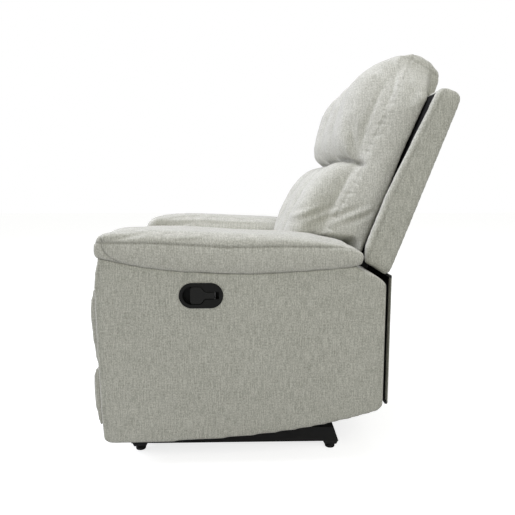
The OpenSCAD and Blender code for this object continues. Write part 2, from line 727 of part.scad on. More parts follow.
// ---- latch ----
module latch_bezel() { color("#141416") union() {
  difference() {
    union() {
      stadium(panel_x, panel_x + latch_lip, latch_len, latch_h, latch_y, latch_z);
      stadium(panel_x - latch_cup_d, panel_x, cup_out_len, cup_out_h, latch_y, latch_z);
    }
    stadium(panel_x - latch_cup_d + latch_wall, panel_x + latch_lip + eps,
            cup_in_len, cup_in_h, latch_y, latch_z);
  }
  for (s = [-1, 1]) difference() {
    translate([0, 0, latch_z + s * (stem_w / 2 + lug_gap + lug_t / 2) - lug_t / 2])
      block([panel_x - latch_cup_d + latch_wall / 2, pivot_y - 7, 0], [pivot_x + 5, pivot_y + 7, lug_t]);
    translate([pivot_x, pivot_y, latch_z - latch_h]) cylinder(r = lever_pin_r, h = 2 * latch_h, $fn = fine);
  }
}}
module latch_lever() { color("#232326") difference() {
  union() {
    translate([pivot_x, pivot_y, latch_z - stem_w / 2]) cylinder(r = lever_eye_r, h = stem_w, $fn = fine);
    block([lever_x - 2, pivot_y - stem_len - 4, latch_z - stem_w / 2],
          [lever_x + lever_t - 2, pivot_y, latch_z + stem_w / 2]);
    across(lever_x, lever_x + lever_t, [
      [pivot_y - stem_len, latch_z - stem_w / 2], [pivot_y - stem_len, latch_z + stem_w / 2],
      [pivot_y - stem_len - 9, latch_z + paddle_h / 2], [paddle_y, latch_z + paddle_h / 2],
      [paddle_y, latch_z - paddle_h / 2], [pivot_y - stem_len - 9, latch_z - paddle_h / 2]]);
  }
  translate([pivot_x, pivot_y, latch_z - latch_h])
    cylinder(r = lever_pin_r + run_gap, h = 2 * latch_h, $fn = fine);
}}
module latch_hinge_pin() { color("silver")
  translate([pivot_x, pivot_y, latch_z - stem_w / 2 - lug_gap - lug_t])
    cylinder(r = lever_pin_r, h = stem_w + 2 * lug_gap + 2 * lug_t, $fn = fine);
}
module latch_block() { color("#2b2b2e") difference() {
  block([block_x, block_y, block_z], [block_x + block_s, block_y + block_len, block_z + block_s]);
  translate([block_x + block_s / 2, block_y - eps, block_z + block_s / 2]) rotate([-90, 0, 0])
    cylinder(r = plunger_r + run_gap, h = block_len - 4, $fn = fine);
}}
module latch_plunger() { color("silver")
  translate([block_x + block_s / 2, block_y - 8, block_z + block_s / 2]) rotate([-90, 0, 0])
    cylinder(r = plunger_r, h = 30, $fn = fine);
}
module release_cable() { color("#101012") tube_along(cable_path, cable_r, 8); }
module cable_clips() { color("#e0e0e0") difference() {
  bar_x(grommet_r, arm_in_x, arm_in_x + panel_t, hole_y, hole_z);
  tube_along(cable_path, cable_r + 0.6, 8);
}}

base_side_rails();
base_cross_rails();
base_glides();
rocker_brackets();
rocker_pins();
rocker_springs();
rocker_cams();
arm_base_rails();
arm_front_posts();
arm_rear_posts();
arm_top_rails();
arm_top_boards();
left_outer_panel();
right_outer_panel();
arm_inner_panels();
arm_front_panels();
arm_rear_panels();
arm_rear_caps();
left_arm_pillow();
right_arm_pillow();
seat_side_rails();
seat_front_rail();
seat_rear_rail();
seat_springs();
seat_cushion();
mechanism_plates();
back_pivot_plates();
back_pivot_pins();
latch_bezel();
latch_lever();
latch_hinge_pin();
latch_block();
latch_plunger();
release_cable();
cable_clips();
back_stiles();
back_cross_rails();
back_webbing();
back_brackets();
left_shell_side();
right_shell_side();
shell_rear_panel();
shell_front_panel();
shell_top_cap();
headrest_cushion();
lumbar_cushion();
flap_rod();
rear_flap();
flap_hem_bar();
drive_tube();
rear_links();
knee_pins();
front_links();
footrest_pins();
footrest_brackets();
footrest_board();
footrest_upper_pad();
footrest_lower_pad();
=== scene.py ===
import json
import math

import bmesh
import bpy
import numpy as np
from mathutils import Matrix, Vector


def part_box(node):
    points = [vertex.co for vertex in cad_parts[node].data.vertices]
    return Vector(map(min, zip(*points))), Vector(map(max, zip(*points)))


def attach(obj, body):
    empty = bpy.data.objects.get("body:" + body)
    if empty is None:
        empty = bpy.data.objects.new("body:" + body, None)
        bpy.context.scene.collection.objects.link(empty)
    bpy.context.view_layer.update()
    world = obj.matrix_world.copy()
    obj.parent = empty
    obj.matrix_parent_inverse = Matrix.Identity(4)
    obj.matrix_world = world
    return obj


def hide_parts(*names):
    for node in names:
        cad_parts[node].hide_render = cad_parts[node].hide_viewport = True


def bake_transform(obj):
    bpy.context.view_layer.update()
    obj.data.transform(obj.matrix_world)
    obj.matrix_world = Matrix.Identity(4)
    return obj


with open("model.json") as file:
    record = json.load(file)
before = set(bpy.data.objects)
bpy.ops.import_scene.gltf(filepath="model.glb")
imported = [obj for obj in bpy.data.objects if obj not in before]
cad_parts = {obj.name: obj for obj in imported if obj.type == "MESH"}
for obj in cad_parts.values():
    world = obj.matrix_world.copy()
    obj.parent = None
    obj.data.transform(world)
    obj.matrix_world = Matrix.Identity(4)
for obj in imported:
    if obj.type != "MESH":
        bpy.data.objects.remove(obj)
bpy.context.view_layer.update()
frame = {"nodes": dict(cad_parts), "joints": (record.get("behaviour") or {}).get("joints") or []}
NODES = frame["nodes"]
JOINTS = {j["name"]: j for j in frame["joints"]}

# ---------------------------------------------------------------- places, from the frame

def corner(node, which, axis):
    """One coordinate of a CAD node's box: which is 0 for the low corner and 1 for the high."""
    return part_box(node)[which][axis]


X, Y, Z = 0, 1, 2
LOW, HIGH = 0, 1
ARM_OUT = corner("left_outer_panel", HIGH, X)
ARM_IN = corner("seat_side_rails", HIGH, X)
ARM_FRONT = corner("arm_front_panels", LOW, Y)
ARM_REAR = corner("arm_rear_panels", HIGH, Y)
ARM_LOW = corner("left_outer_panel", LOW, Z)
ARM_TAIL = corner("arm_rear_panels", LOW, Z)
ARM_TOP = corner("left_arm_pillow", HIGH, Z)
PILLOW_IN = corner("left_arm_pillow", LOW, X)
PILLOW_OUT = corner("left_arm_pillow", HIGH, X)
PILLOW_FRONT = corner("left_arm_pillow", LOW, Y)
PILLOW_REAR = corner("left_arm_pillow", HIGH, Y)
RECLINE = Vector(JOINTS["recline"]["pos_m"])
FLAP_PIVOT = Vector(JOINTS["flap_swing"]["pos_m"])

# the line where pillow meets panel: a shallow bow, lowest a little behind the latch
LINE_LOW = 0.496
LINE_Y = -0.100
LINE_FRONT = 0.37
LINE_REAR = 0.19


def arm_line(y):
    bow = np.where(np.asarray(y) < LINE_Y, LINE_FRONT, LINE_REAR)
    return LINE_LOW + bow * (np.asarray(y) - LINE_Y) ** 2


# the back box has its own plane: v runs forward from its rear face, u runs up it
BACK_LEAN = math.radians(20.7)
BACK_FOOT = (RECLINE.y + 0.096, RECLINE.z + 0.087)
BACK_LEN = 0.478
SHELL_HALF = corner("left_shell_side", HIGH, X)
SHELL_LOW_T = 0.088
SHELL_TOP_T = 0.067
SHELL_BULGE = 0.38 * BACK_LEN


def back_point(v, u):
    return (BACK_FOOT[0] + u * math.sin(BACK_LEAN) - v * math.cos(BACK_LEAN),
            BACK_FOOT[1] + u * math.cos(BACK_LEAN) + v * math.sin(BACK_LEAN))


def back_uv(co):
    """v and u of points given as an array of x, y, z."""
    dy, dz = co[:, 1] - BACK_FOOT[0], co[:, 2] - BACK_FOOT[1]
    v = -dy * math.cos(BACK_LEAN) + dz * math.sin(BACK_LEAN)
    u = dy * math.sin(BACK_LEAN) + dz * math.cos(BACK_LEAN)
    return v, u


BACK_FORWARD = np.array([0, -math.cos(BACK_LEAN), math.sin(BACK_LEAN)])


def shell_front(u):
    t = np.clip((np.asarray(u) - SHELL_BULGE) / (BACK_LEN - SHELL_BULGE), 0, 1)
    return SHELL_LOW_T + (SHELL_TOP_T - SHELL_LOW_T) * t


# ---------------------------------------------------------------- mesh helpers

def smoothstep(a, b, t):
    s = np.clip((np.asarray(t, float) - a) / (b - a), 0, 1)
    return s * s * (3 - 2 * s)


def bell(t, width):
    return np.exp(-(np.asarray(t) / width) ** 2)


def new_object(name, bm):
    bmesh.ops.recalc_face_normals(bm, faces=bm.faces)
    mesh = bpy.data.meshes.new(name)
    bm.to_mesh(mesh)
    bm.free()
    obj = bpy.data.objects.new(name, mesh)
    bpy.context.scene.collection.objects.link(obj)
    return obj


def prism(name, outline, x0, x1):
    """A solid with one outline in the Y-Z plane, from x0 to x1."""
    bm = bmesh.new()
    ring = [bm.verts.new((x0, y, z)) for y, z in outline]
    face = bm.faces.new(ring)
    grown = bmesh.ops.extrude_face_region(bm, geom=[face])
    moved = [g for g in grown["geom"] if isinstance(g, bmesh.types.BMVert)]
    bmesh.ops.translate(bm, vec=(x1 - x0, 0, 0), verts=moved)
    return new_object(name, bm)


def box_mesh(bm, low, high, bevel=0.0, segments=3):
    """A box between two corners, its edges rounded."""
    made = bmesh.ops.create_cube(bm, size=1)["verts"]
    size = [high[i] - low[i] for i in range(3)]
    mid = [(high[i] + low[i]) / 2 for i in range(3)]
    bmesh.ops.scale(bm, vec=size, verts=made)
    bmesh.ops.translate(bm, vec=mid, verts=made)
    if bevel:
        edges = list({e for v in made for e in v.link_edges})
        bmesh.ops.bevel(bm, geom=edges, offset=bevel, segments=segments, affect="EDGES",
                        profile=0.5, material=-1, clamp_overlap=True)
    return made


def bake(obj):
    """Applies what the object's modifiers do."""
    graph = bpy.context.evaluated_depsgraph_get()
    graph.update()
    mesh = bpy.data.meshes.new_from_object(obj.evaluated_get(graph))
    old = obj.data
    obj.modifiers.clear()
    obj.data = mesh
    bpy.data.meshes.remove(old)
    return obj


def remesh(obj, voxel):
    m = obj.modifiers.new("voxels", "REMESH")
    m.mode = "VOXEL"
    m.voxel_size = voxel
    m.use_smooth_shade = True
    return bake(obj)


def relax(obj, rounds):
    m = obj.modifiers.new("relax", "SMOOTH")
    m.factor = 0.5
    m.iterations = rounds
    return bake(obj)


def subdivide(obj):
    m = obj.modifiers.new("subdivide", "SUBSURF")
    m.levels = m.render_levels = 1
    return bake(obj)


def points(obj):
    co = np.empty(len(obj.data.vertices) * 3)
    obj.data.vertices.foreach_get("co", co)
    return co.reshape(-1, 3)


def set_points(obj, co):
    obj.data.vertices.foreach_set("co", np.ascontiguousarray(co, dtype=float).ravel())
    obj.data.update()


def normals(obj):
    no = np.empty(len(obj.data.vertices) * 3)
    obj.data.vertices.foreach_get("normal", no)
    return no.reshape(-1, 3)


def push(obj, amount):
    """Moves every point along its normal by amount(co, no), in metres."""
    co, no = points(obj), normals(obj)
    set_points(obj, co + no * amount(co, no)[:, None])


def seam_shade_attribute(obj):
    # the seam attribute holds painted shade along seams, channels and creases
    found = obj.data.attributes.get("seam")
    return found or obj.data.attributes.new("seam", "FLOAT", "POINT")


def groove(obj, field, mask, depth=0.0035, width=0.0045, shade=1.0):
    """Sinks a sewn seam where field(co) is 0 and mask(co, no) is not, and writes its painted shade into the
    seam attribute for the material.
    """
    co, no = points(obj), normals(obj)
    line = bell(field(co), width) * mask(co, no)
    set_points(obj, co - no * (depth * line)[:, None])
    data = seam_shade_attribute(obj)
    was = np.zeros(len(co), dtype=np.float32)
    data.data.foreach_get("value", was)
    data.data.foreach_set("value", np.maximum(was, shade * line).astype(np.float32))


def ripples(co, scale, seed):
    """Smooth made-up unevenness, about -1 to 1, from a few crossed waves."""
    rng = np.random.default_rng(seed)
    total = np.zeros(len(co))
    for _ in range(7):
        direction = rng.normal(size=3)
        direction /= np.linalg.norm(direction)
        total += np.sin(co @ direction * (2 * math.pi / scale) * rng.uniform(0.6, 1.5) + rng.uniform(0, 6.3))
    return total / 4


def inflate(obj, pinned, pressure, cap):
    """Swells a closed cover as stuffed cloth. pinned(co) is 1 where a seam holds it, 0 where it is free.
    No point moves further than cap."""
    frames = 20
    base = points(obj)
    weights = np.clip(pinned(base), 0, 1)
    group = obj.vertex_groups.new(name="pinned")
    for i in np.nonzero(weights > 0.05)[0]:
        group.add([int(i)], float(round(weights[i], 2)), "REPLACE")
    cloth = obj.modifiers.new("cloth", "CLOTH")
    s = cloth.settings
    s.quality = 5
    s.mass = 0.3
    s.tension_stiffness = s.compression_stiffness = 15
    s.shear_stiffness = 5
    s.bending_stiffness = 0.5
    s.use_pressure = True
    s.uniform_pressure_force = pressure
    s.effector_weights.gravity = 0
    s.vertex_group_mass = "pinned"
    cloth.point_cache.frame_start = 1
    cloth.point_cache.frame_end = frames
    scene = bpy.context.scene
    for f in range(1, frames + 1):
        scene.frame_set(f)
    bake(obj)
    scene.frame_set(1)
    obj.vertex_groups.clear()
    moved = points(obj) - base
    length = np.linalg.norm(moved, axis=1)
    held = np.minimum(1, cap / np.maximum(length, 1e-9))
    set_points(obj, base + moved * held[:, None])
    return obj


def mirrored(obj, name):
    """A copy of a piece on the other side of the chair."""
    mesh = obj.data.copy()
    mesh.transform(Matrix.Scale(-1, 4, (1, 0, 0)))
    mesh.flip_normals()
    copy = bpy.data.objects.new(name, mesh)
    bpy.context.scene.collection.objects.link(copy)
    return copy


def finish_piece(obj, body, material, replaces=(), smooth=True):
    obj.data.materials.clear()
    obj.data.materials.append(material)
    if smooth:
        obj.data.polygons.foreach_set("use_smooth", [True] * len(obj.data.polygons))
    if body:  # a piece that blends between two bodies rides on none
        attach(obj, body)
    if replaces:
        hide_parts(*replaces)
    return obj


# ---------------------------------------------------------------- shader groups

def math_node(tree, operation, a, b=None, clamp=False):
    n = tree.nodes.new("ShaderNodeMath")
    n.operation = operation
    n.use_clamp = clamp
    for i, value in enumerate((a, b)):
        if value is None:
            continue
        if isinstance(value, (int, float)):
            n.inputs[i].default_value = value
        else:
            tree.links.new(value, n.inputs[i])
    return n.outputs[0]


def noise_node(tree, vector, detail=2.0, roughness=0.5, scale=1.0):
    n = tree.nodes.new("ShaderNodeTexNoise")
    n.inputs["Scale"].default_value = scale
    n.inputs["Detail"].default_value = detail
    n.inputs["Roughness"].default_value = roughness
    tree.links.new(vector, n.inputs["Vector"])
    return n.outputs["Fac"]


def combine(tree, x, y, z):
    n = tree.nodes.new("ShaderNodeCombineXYZ")
    for i, value in enumerate((x, y, z)):
        if isinstance(value, (int, float)):
            n.inputs[i].default_value = value
        else:
            tree.links.new(value, n.inputs[i])
    return n.outputs[0]


def new_group(name, inputs, outputs):
    tree = bpy.data.node_groups.new(name, "ShaderNodeTree")
    for socket, kind, default in inputs:
        made = tree.interface.new_socket(socket, in_out="INPUT", socket_type="NodeSocket" + kind)
        if default is not None:
            made.default_value = default
    for socket, kind in outputs:
        tree.interface.new_socket(socket, in_out="OUTPUT", socket_type="NodeSocket" + kind)
    return tree, tree.nodes.new("NodeGroupInput"), tree.nodes.new("NodeGroupOutput")


def thread_plane_group():
    """Slubby threads on a flat plane: Across runs over the warp, Along runs with it, both in metres."""
    tree, gi, go = new_group("thread_plane", [
        ("Across", "Float", 0.0), ("Along", "Float", 0.0),
        ("Slub Width", "Float", 0.0017), ("Slub Length", "Float", 0.045)],
        [("Tone", "Float"), ("Height", "Float")])
    across, along = gi.outputs["Across"], gi.outputs["Along"]
    wide, long = gi.outputs["Slub Width"], gi.outputs["Slub Length"]
    warp = noise_node(tree, combine(
        tree, math_node(tree, "DIVIDE", across, wide), math_node(tree, "DIVIDE", along, long), 0.0), 3.0, 0.6)
    weft = noise_node(tree, combine(
        tree, math_node(tree, "DIVIDE", across, 0.016), math_node(tree, "DIVIDE", along, wide),
        5.3), 2.0, 0.5)
    heather = noise_node(tree, combine(
        tree, math_node(tree, "DIVIDE", across, 0.0026), math_node(tree, "DIVIDE", along, 0.0042),
        9.1), 1.0, 0.6)
    tone = math_node(tree, "ADD", math_node(tree, "MULTIPLY", warp, 0.42),
                     math_node(tree, "MULTIPLY", weft, 0.14))
    tone = math_node(tree, "ADD", tone, math_node(tree, "MULTIPLY", heather, 0.44))
    thread = 2 * math.pi / 0.0017
    over = math_node(tree, "SINE", math_node(tree, "MULTIPLY", across, thread))
    under = math_node(tree, "SINE", math_node(tree, "MULTIPLY", along, thread))
    weave = math_node(tree, "MULTIPLY", over, under)
    height = math_node(tree, "ADD", math_node(tree, "MULTIPLY", weave, 0.30), warp)
    height = math_node(tree, "ADD", height, math_node(tree, "MULTIPLY", weft, 0.6))
    tree.links.new(tone, go.inputs["Tone"])
    tree.links.new(height, go.inputs["Height"])
    return tree


def linen_group(plane):
    """Heathered linen on any surface: the thread plane along each axis, mixed by the surface's normal."""
    tree, gi, go = new_group("linen", [
        ("Coordinate", "Vector", None), ("Normal", "Vector", None), ("Seam", "Float", 0.0),
        ("Light Thread", "Color", (0.6, 0.6, 0.56, 1)), ("Dark Thread", "Color", (0.35, 0.35, 0.32, 1)),
        ("Mottle", "Float", 0.25)],
        [("Color", "Color"), ("Height", "Float"), ("Sheen Mask", "Float")])
    place = tree.nodes.new("ShaderNodeSeparateXYZ")
    facing = tree.nodes.new("ShaderNodeSeparateXYZ")
    tree.links.new(gi.outputs["Coordinate"], place.inputs[0])
    tree.links.new(gi.outputs["Normal"], facing.inputs[0])
    px, py, pz = place.outputs
    weights = [math_node(tree, "POWER", math_node(tree, "ABSOLUTE", f), 4.0) for f in facing.outputs]
    total = math_node(tree, "ADD", math_node(tree, "ADD", weights[0], weights[1]), weights[2])
    total = math_node(tree, "MAXIMUM", total, 0.001)
    tones, heights = [], []
    for (across, along), weight in zip(((py, pz), (px, pz), (px, py)), weights):
        n = tree.nodes.new("ShaderNodeGroup")
        n.node_tree = plane
        tree.links.new(across, n.inputs["Across"])
        tree.links.new(along, n.inputs["Along"])
        n.inputs["Slub Width"].default_value = 0.0026
        n.inputs["Slub Length"].default_value = 0.034
        share = math_node(tree, "DIVIDE", weight, total)
        tones.append(math_node(tree, "MULTIPLY", n.outputs["Tone"], share))
        heights.append(math_node(tree, "MULTIPLY", n.outputs["Height"], share))
    tone = math_node(tree, "ADD", math_node(tree, "ADD", tones[0], tones[1]), tones[2])
    height = math_node(tree, "ADD", math_node(tree, "ADD", heights[0], heights[1]), heights[2])
    broad = noise_node(tree, gi.outputs["Coordinate"], 3.0, 0.6, 12.0)
    broad = math_node(tree, "MULTIPLY", math_node(tree, "SUBTRACT", broad, 0.5), gi.outputs["Mottle"])
    tone = math_node(tree, "ADD", tone, broad)
    ramp = tree.nodes.new("ShaderNodeMapRange")
    ramp.inputs["From Min"].default_value = 0.40
    ramp.inputs["From Max"].default_value = 0.60
    tree.links.new(tone, ramp.inputs["Value"])
    mix = tree.nodes.new("ShaderNodeMix")
    mix.data_type = "RGBA"
    tree.links.new(ramp.outputs[0], mix.inputs["Factor"])
    tree.links.new(gi.outputs["Dark Thread"], mix.inputs[6])
    tree.links.new(gi.outputs["Light Thread"], mix.inputs[7])
    # painted shade: darkens the colour where the seam attribute marks a seam, channel or crease
    dark = tree.nodes.new("ShaderNodeMix")
    dark.data_type = "RGBA"
    dark.blend_type = "MULTIPLY"
    tree.links.new(math_node(tree, "MULTIPLY", gi.outputs["Seam"], 0.70, clamp=True), dark.inputs["Factor"])
    tree.links.new(mix.outputs[2], dark.inputs[6])
    dark.inputs[7].default_value = (0.22, 0.22, 0.20, 1)
    tree.links.new(dark.outputs[2], go.inputs["Color"])
    tree.links.new(height, go.inputs["Height"])
    tree.links.new(ramp.outputs[0], go.inputs["Sheen Mask"])
    return tree


def wear_group():
    """Dust for hard parts: a paler, drier tone in patches, most on upward faces."""
    tree, gi, go = new_group("wear_and_dust", [
        ("Coordinate", "Vector", None), ("Normal", "Vector", None),
        ("Base", "Color", (0.02, 0.02, 0.02, 1)), ("Dust", "Color", (0.25, 0.24, 0.22, 1)),
        ("Dust Amount", "Float", 0.15), ("Roughness", "Float", 0.45), ("Grain", "Float", 500.0)],
        [("Color", "Color"), ("Roughness", "Float"), ("Height", "Float")])
    facing = tree.nodes.new("ShaderNodeSeparateXYZ")
    tree.links.new(gi.outputs["Normal"], facing.inputs[0])
    up = math_node(tree, "MULTIPLY", math_node(tree, "MAXIMUM", facing.outputs[2], 0.0), 0.8)
    cloud = noise_node(tree, gi.outputs["Coordinate"], 4.0, 0.6, 30.0)
    dusty = math_node(tree, "MULTIPLY", math_node(tree, "ADD", up, 0.2), cloud)
    dusty = math_node(tree, "MULTIPLY", dusty, gi.outputs["Dust Amount"], clamp=True)
    mix = tree.nodes.new("ShaderNodeMix")
    mix.data_type = "RGBA"
    tree.links.new(dusty, mix.inputs["Factor"])
    tree.links.new(gi.outputs["Base"], mix.inputs[6])
    tree.links.new(gi.outputs["Dust"], mix.inputs[7])
    scaled = tree.nodes.new("ShaderNodeVectorMath")
    scaled.operation = "SCALE"
    tree.links.new(gi.outputs["Coordinate"], scaled.inputs[0])
    tree.links.new(gi.outputs["Grain"], scaled.inputs["Scale"])
    grain = noise_node(tree, scaled.outputs[0], 2.0, 0.5)
    rough = math_node(tree, "ADD", gi.outputs["Roughness"], math_node(tree, "MULTIPLY", dusty, 0.5))
    patchy = math_node(tree, "MULTIPLY", math_node(tree, "SUBTRACT", cloud, 0.5), 0.2)
    rough = math_node(tree, "ADD", rough, patchy)
    tree.links.new(mix.outputs[2], go.inputs["Color"])
    tree.links.new(rough, go.inputs["Roughness"])
    tree.links.new(grain, go.inputs["Height"])
    return tree


def timber_group():
    """Sawn softwood: long growth rings along one axis, with finer pores."""
    tree, gi, go = new_group("timber", [
        ("Coordinate", "Vector", None), ("Pale", "Color", (0.62, 0.47, 0.30, 1)),
        ("Ring", "Color", (0.42, 0.28, 0.16, 1)), ("Stretch", "Vector", (1.0, 1.0, 1.0))],
        [("Color", "Color"), ("Roughness", "Float"), ("Height", "Float")])
    scaled = tree.nodes.new("ShaderNodeVectorMath")
    scaled.operation = "MULTIPLY"
    tree.links.new(gi.outputs["Coordinate"], scaled.inputs[0])
    tree.links.new(gi.outputs["Stretch"], scaled.inputs[1])
    rings = noise_node(tree, scaled.outputs[0], 4.0, 0.6, 60.0)
    pores = noise_node(tree, scaled.outputs[0], 2.0, 0.5, 420.0)
    both = math_node(tree, "ADD", math_node(tree, "MULTIPLY", rings, 0.7),
                     math_node(tree, "MULTIPLY", pores, 0.3))
    ramp = tree.nodes.new("ShaderNodeMapRange")
    ramp.inputs["From Min"].default_value = 0.35
    ramp.inputs["From Max"].default_value = 0.65
    tree.links.new(both, ramp.inputs["Value"])
    mix = tree.nodes.new("ShaderNodeMix")
    mix.data_type = "RGBA"
    tree.links.new(ramp.outputs[0], mix.inputs["Factor"])
    tree.links.new(gi.outputs["Pale"], mix.inputs[6])
    tree.links.new(gi.outputs["Ring"], mix.inputs[7])
    tree.links.new(mix.outputs[2], go.inputs["Color"])
    rough = math_node(tree, "ADD", 0.55, math_node(tree, "MULTIPLY", pores, 0.2))
    tree.links.new(rough, go.inputs["Roughness"])
    tree.links.new(both, go.inputs["Height"])
    return tree


GROUPS = {"linen": linen_group(thread_plane_group()), "wear": wear_group(), "timber": timber_group()}

# ---------------------------------------------------------------- materials

def new_material(name, group, values, bump=0.3, bump_distance=0.001, **shader):
    """A Principled material fed by one shader group. values set the group's inputs, shader the BSDF's."""
    material = bpy.data.materials.new(name)
    material.use_nodes = True
    tree = material.node_tree
    bsdf = tree.nodes["Principled BSDF"]
    effect = tree.nodes.new("ShaderNodeGroup")
    effect.node_tree = GROUPS[group]
    place = tree.nodes.new("ShaderNodeTexCoord")
    tree.links.new(place.outputs["Object"], effect.inputs["Coordinate"])
    if "Normal" in effect.inputs:
        tree.links.new(place.outputs["Normal"], effect.inputs["Normal"])
    # the seam attribute brings in the painted seam shade
    if "Seam" in effect.inputs:
        seam = tree.nodes.new("ShaderNodeAttribute")
        seam.attribute_name = "seam"
        tree.links.new(seam.outputs["Fac"], effect.inputs["Seam"])
    for socket, value in values.items():
        effect.inputs[socket].default_value = value
    tree.links.new(effect.outputs["Color"], bsdf.inputs["Base Color"])
    if "Roughness" in effect.outputs:
        tree.links.new(effect.outputs["Roughness"], bsdf.inputs["Roughness"])
    raised = tree.nodes.new("ShaderNodeBump")
    raised.inputs["Strength"].default_value = bump
    raised.inputs["Distance"].default_value = bump_distance
    tree.links.new(effect.outputs["Height"], raised.inputs["Height"])
    tree.links.new(raised.outputs[0], bsdf.inputs["Normal"])
    for socket, value in shader.items():
        bsdf.inputs[socket.replace("_", " ")].default_value = value
    return material


def linen(name, light, dark, mottle=0.25, sheen=0.25):
    return new_material(name, "linen", {"Light Thread": light, "Dark Thread": dark, "Mottle": mottle},
                        bump=0.55, bump_distance=0.0007, Roughness=0.92, Sheen_Weight=sheen,
                        Sheen_Roughness=0.5, Specular_IOR_Level=0.2)


def hard(name, base, rough, dust=0.12, grain=500.0, bump=0.12, **shader):
    return new_material(name, "wear", {"Base": base, "Dust Amount": dust, "Roughness": rough, "Grain": grain},
                        bump=bump, bump_distance=0.0004, **shader)


def timber(name, pale, ring, stretch):
    return new_material(name, "timber", {"Pale": pale, "Ring": ring, "Stretch": stretch},
                        bump=0.2, bump_distance=0.0005)


COVER = linen("sage_linen", (0.625, 0.623, 0.560, 1), (0.385, 0.383, 0.330, 1), 0.05)
# a darker copy of the same linen: painted shade for the arm panels, outer back, flap and footrest board
SHADED_PANEL_LINEN = linen("sage_linen_painted_shade", (0.590, 0.590, 0.523, 1), (0.345, 0.345, 0.295, 1), 0.06)
# black cambric lining, made near black so it also paints the deep shade of the gaps it closes
GAP_SHADE_LINING = linen("black_cambric_gap_shade", (0.006, 0.006, 0.006, 1), (0.002, 0.002, 0.002, 1), 0.1, sheen=0.0)
WEBBING = linen("elastic_webbing", (0.26, 0.22, 0.18, 1), (0.12, 0.10, 0.08, 1), 0.1)
LATCH_BLACK = hard("latch_black", (0.0030, 0.0031, 0.0026, 1), 0.48, dust=0.02, grain=900.0,
                   Specular_IOR_Level=0.28)
LEVER_BLACK = hard("lever_black", (0.0055, 0.0056, 0.0048, 1), 0.42, dust=0.02, grain=900.0,
                   Specular_IOR_Level=0.36)
BASE_BLACK = hard("base_black", (0.0022, 0.0022, 0.0022, 1), 0.65, dust=0.015, grain=300.0)
GLIDE_BLACK = hard("glide_black", (0.005, 0.005, 0.0055, 1), 0.55, dust=0.05, grain=700.0)
STEEL_BLACK = hard("powder_coat", (0.020, 0.020, 0.022, 1), 0.42, dust=0.10, grain=800.0, bump=0.2)
ZINC = hard("zinc_pin", (0.55, 0.55, 0.56, 1), 0.32, dust=0.05, Metallic=1.0)
SPRING_STEEL = hard("spring_steel", (0.22, 0.22, 0.23, 1), 0.38, dust=0.08, Metallic=1.0)
TIMBER_Y = timber("softwood_lengthwise", (0.60, 0.44, 0.27, 1), (0.44, 0.29, 0.16, 1), (1.0, 0.06, 1.0))
TIMBER_X = timber("softwood_crosswise", (0.60, 0.44, 0.27, 1), (0.44, 0.29, 0.16, 1), (0.06, 1.0, 1.0))
TIMBER_Z = timber("softwood_upright", (0.60, 0.44, 0.27, 1), (0.44, 0.29, 0.16, 1), (1.0, 1.0, 0.06))

NODE_FINISHES = {
    BASE_BLACK: ("base_side_rails", "base_cross_rails"),
    STEEL_BLACK: ("rocker_brackets", "rocker_cams", "mechanism_plates", "back_pivot_plates", "back_brackets",
                  "rear_links", "front_links", "footrest_brackets", "drive_tube", "flap_rod", "flap_hem_bar",
                  "release_cable", "latch_block", "cable_clips"),
    ZINC: ("rocker_pins", "back_pivot_pins", "knee_pins", "footrest_pins", "latch_hinge_pin",
           "latch_plunger"),
    SPRING_STEEL: ("seat_springs",),
    WEBBING: ("back_webbing",),
    TIMBER_Y: ("arm_base_rails", "arm_top_rails", "seat_side_rails"),
    TIMBER_X: ("seat_front_rail", "seat_rear_rail", "back_cross_rails"),
    TIMBER_Z: ("arm_front_posts", "arm_rear_posts", "back_stiles"),
}
for finish, names in NODE_FINISHES.items():
    for name in names:
        NODES[name].data.materials.clear()
        NODES[name].data.materials.append(finish)

# ---------------------------------------------------------------- upholstered arms

SWEEP_R = 0.101
CORNER = 0.014
COVER_RISE = 0.005  # the cover goes on up behind the pillow's skirt
FOOT_HALF = corner("footrest_upper_pad", HIGH, X)


def low_edge(s):
    return ARM_LOW + (ARM_TAIL - CORNER - ARM_LOW) * (0.2 * s + 0.8 * s ** 3)


def arm_outline(inset=0.0):
    """The arm box from the side, drawn round once from the lower front corner."""
    front, rear = ARM_FRONT + inset, ARM_REAR - inset
    run = [i / 10 for i in range(11)]
    first = math.acos((rear - RECLINE.y) / SWEEP_R)
    last = math.radians(82)
    line_end = RECLINE.y + SWEEP_R * math.cos(last) - 0.02
    lower = [(front + CORNER + (rear - front - 2 * CORNER) * s, low_edge(s) + inset) for s in run]
    corner_arc = [(RECLINE.y + (SWEEP_R - inset) * math.cos(first + (last - first) * s),
                   RECLINE.z + (SWEEP_R - inset) * math.sin(first + (last - first) * s)) for s in run]
    line_ys = [line_end + (front - line_end) * s for s in run]
    upper = [(y, float(arm_line(y)) + COVER_RISE) for y in line_ys]
    return [(front, ARM_LOW + CORNER)] + lower + [(rear, ARM_TAIL)] + corner_arc + upper


def outline_distance(co, outline):
    """How far points of an array lie from a closed outline in the Y-Z plane."""
    nearest = np.full(len(co), 1e9)
    p = co[:, 1:3]
    for a, b in zip(outline, outline[1:] + outline[:1]):
        a, b = np.array(a), np.array(b)
        ab = b - a
        t = np.clip(((p - a) @ ab) / max(ab @ ab, 1e-12), 0, 1)
        nearest = np.minimum(nearest, np.linalg.norm(p - a - t[:, None] * ab, axis=1))
    return nearest


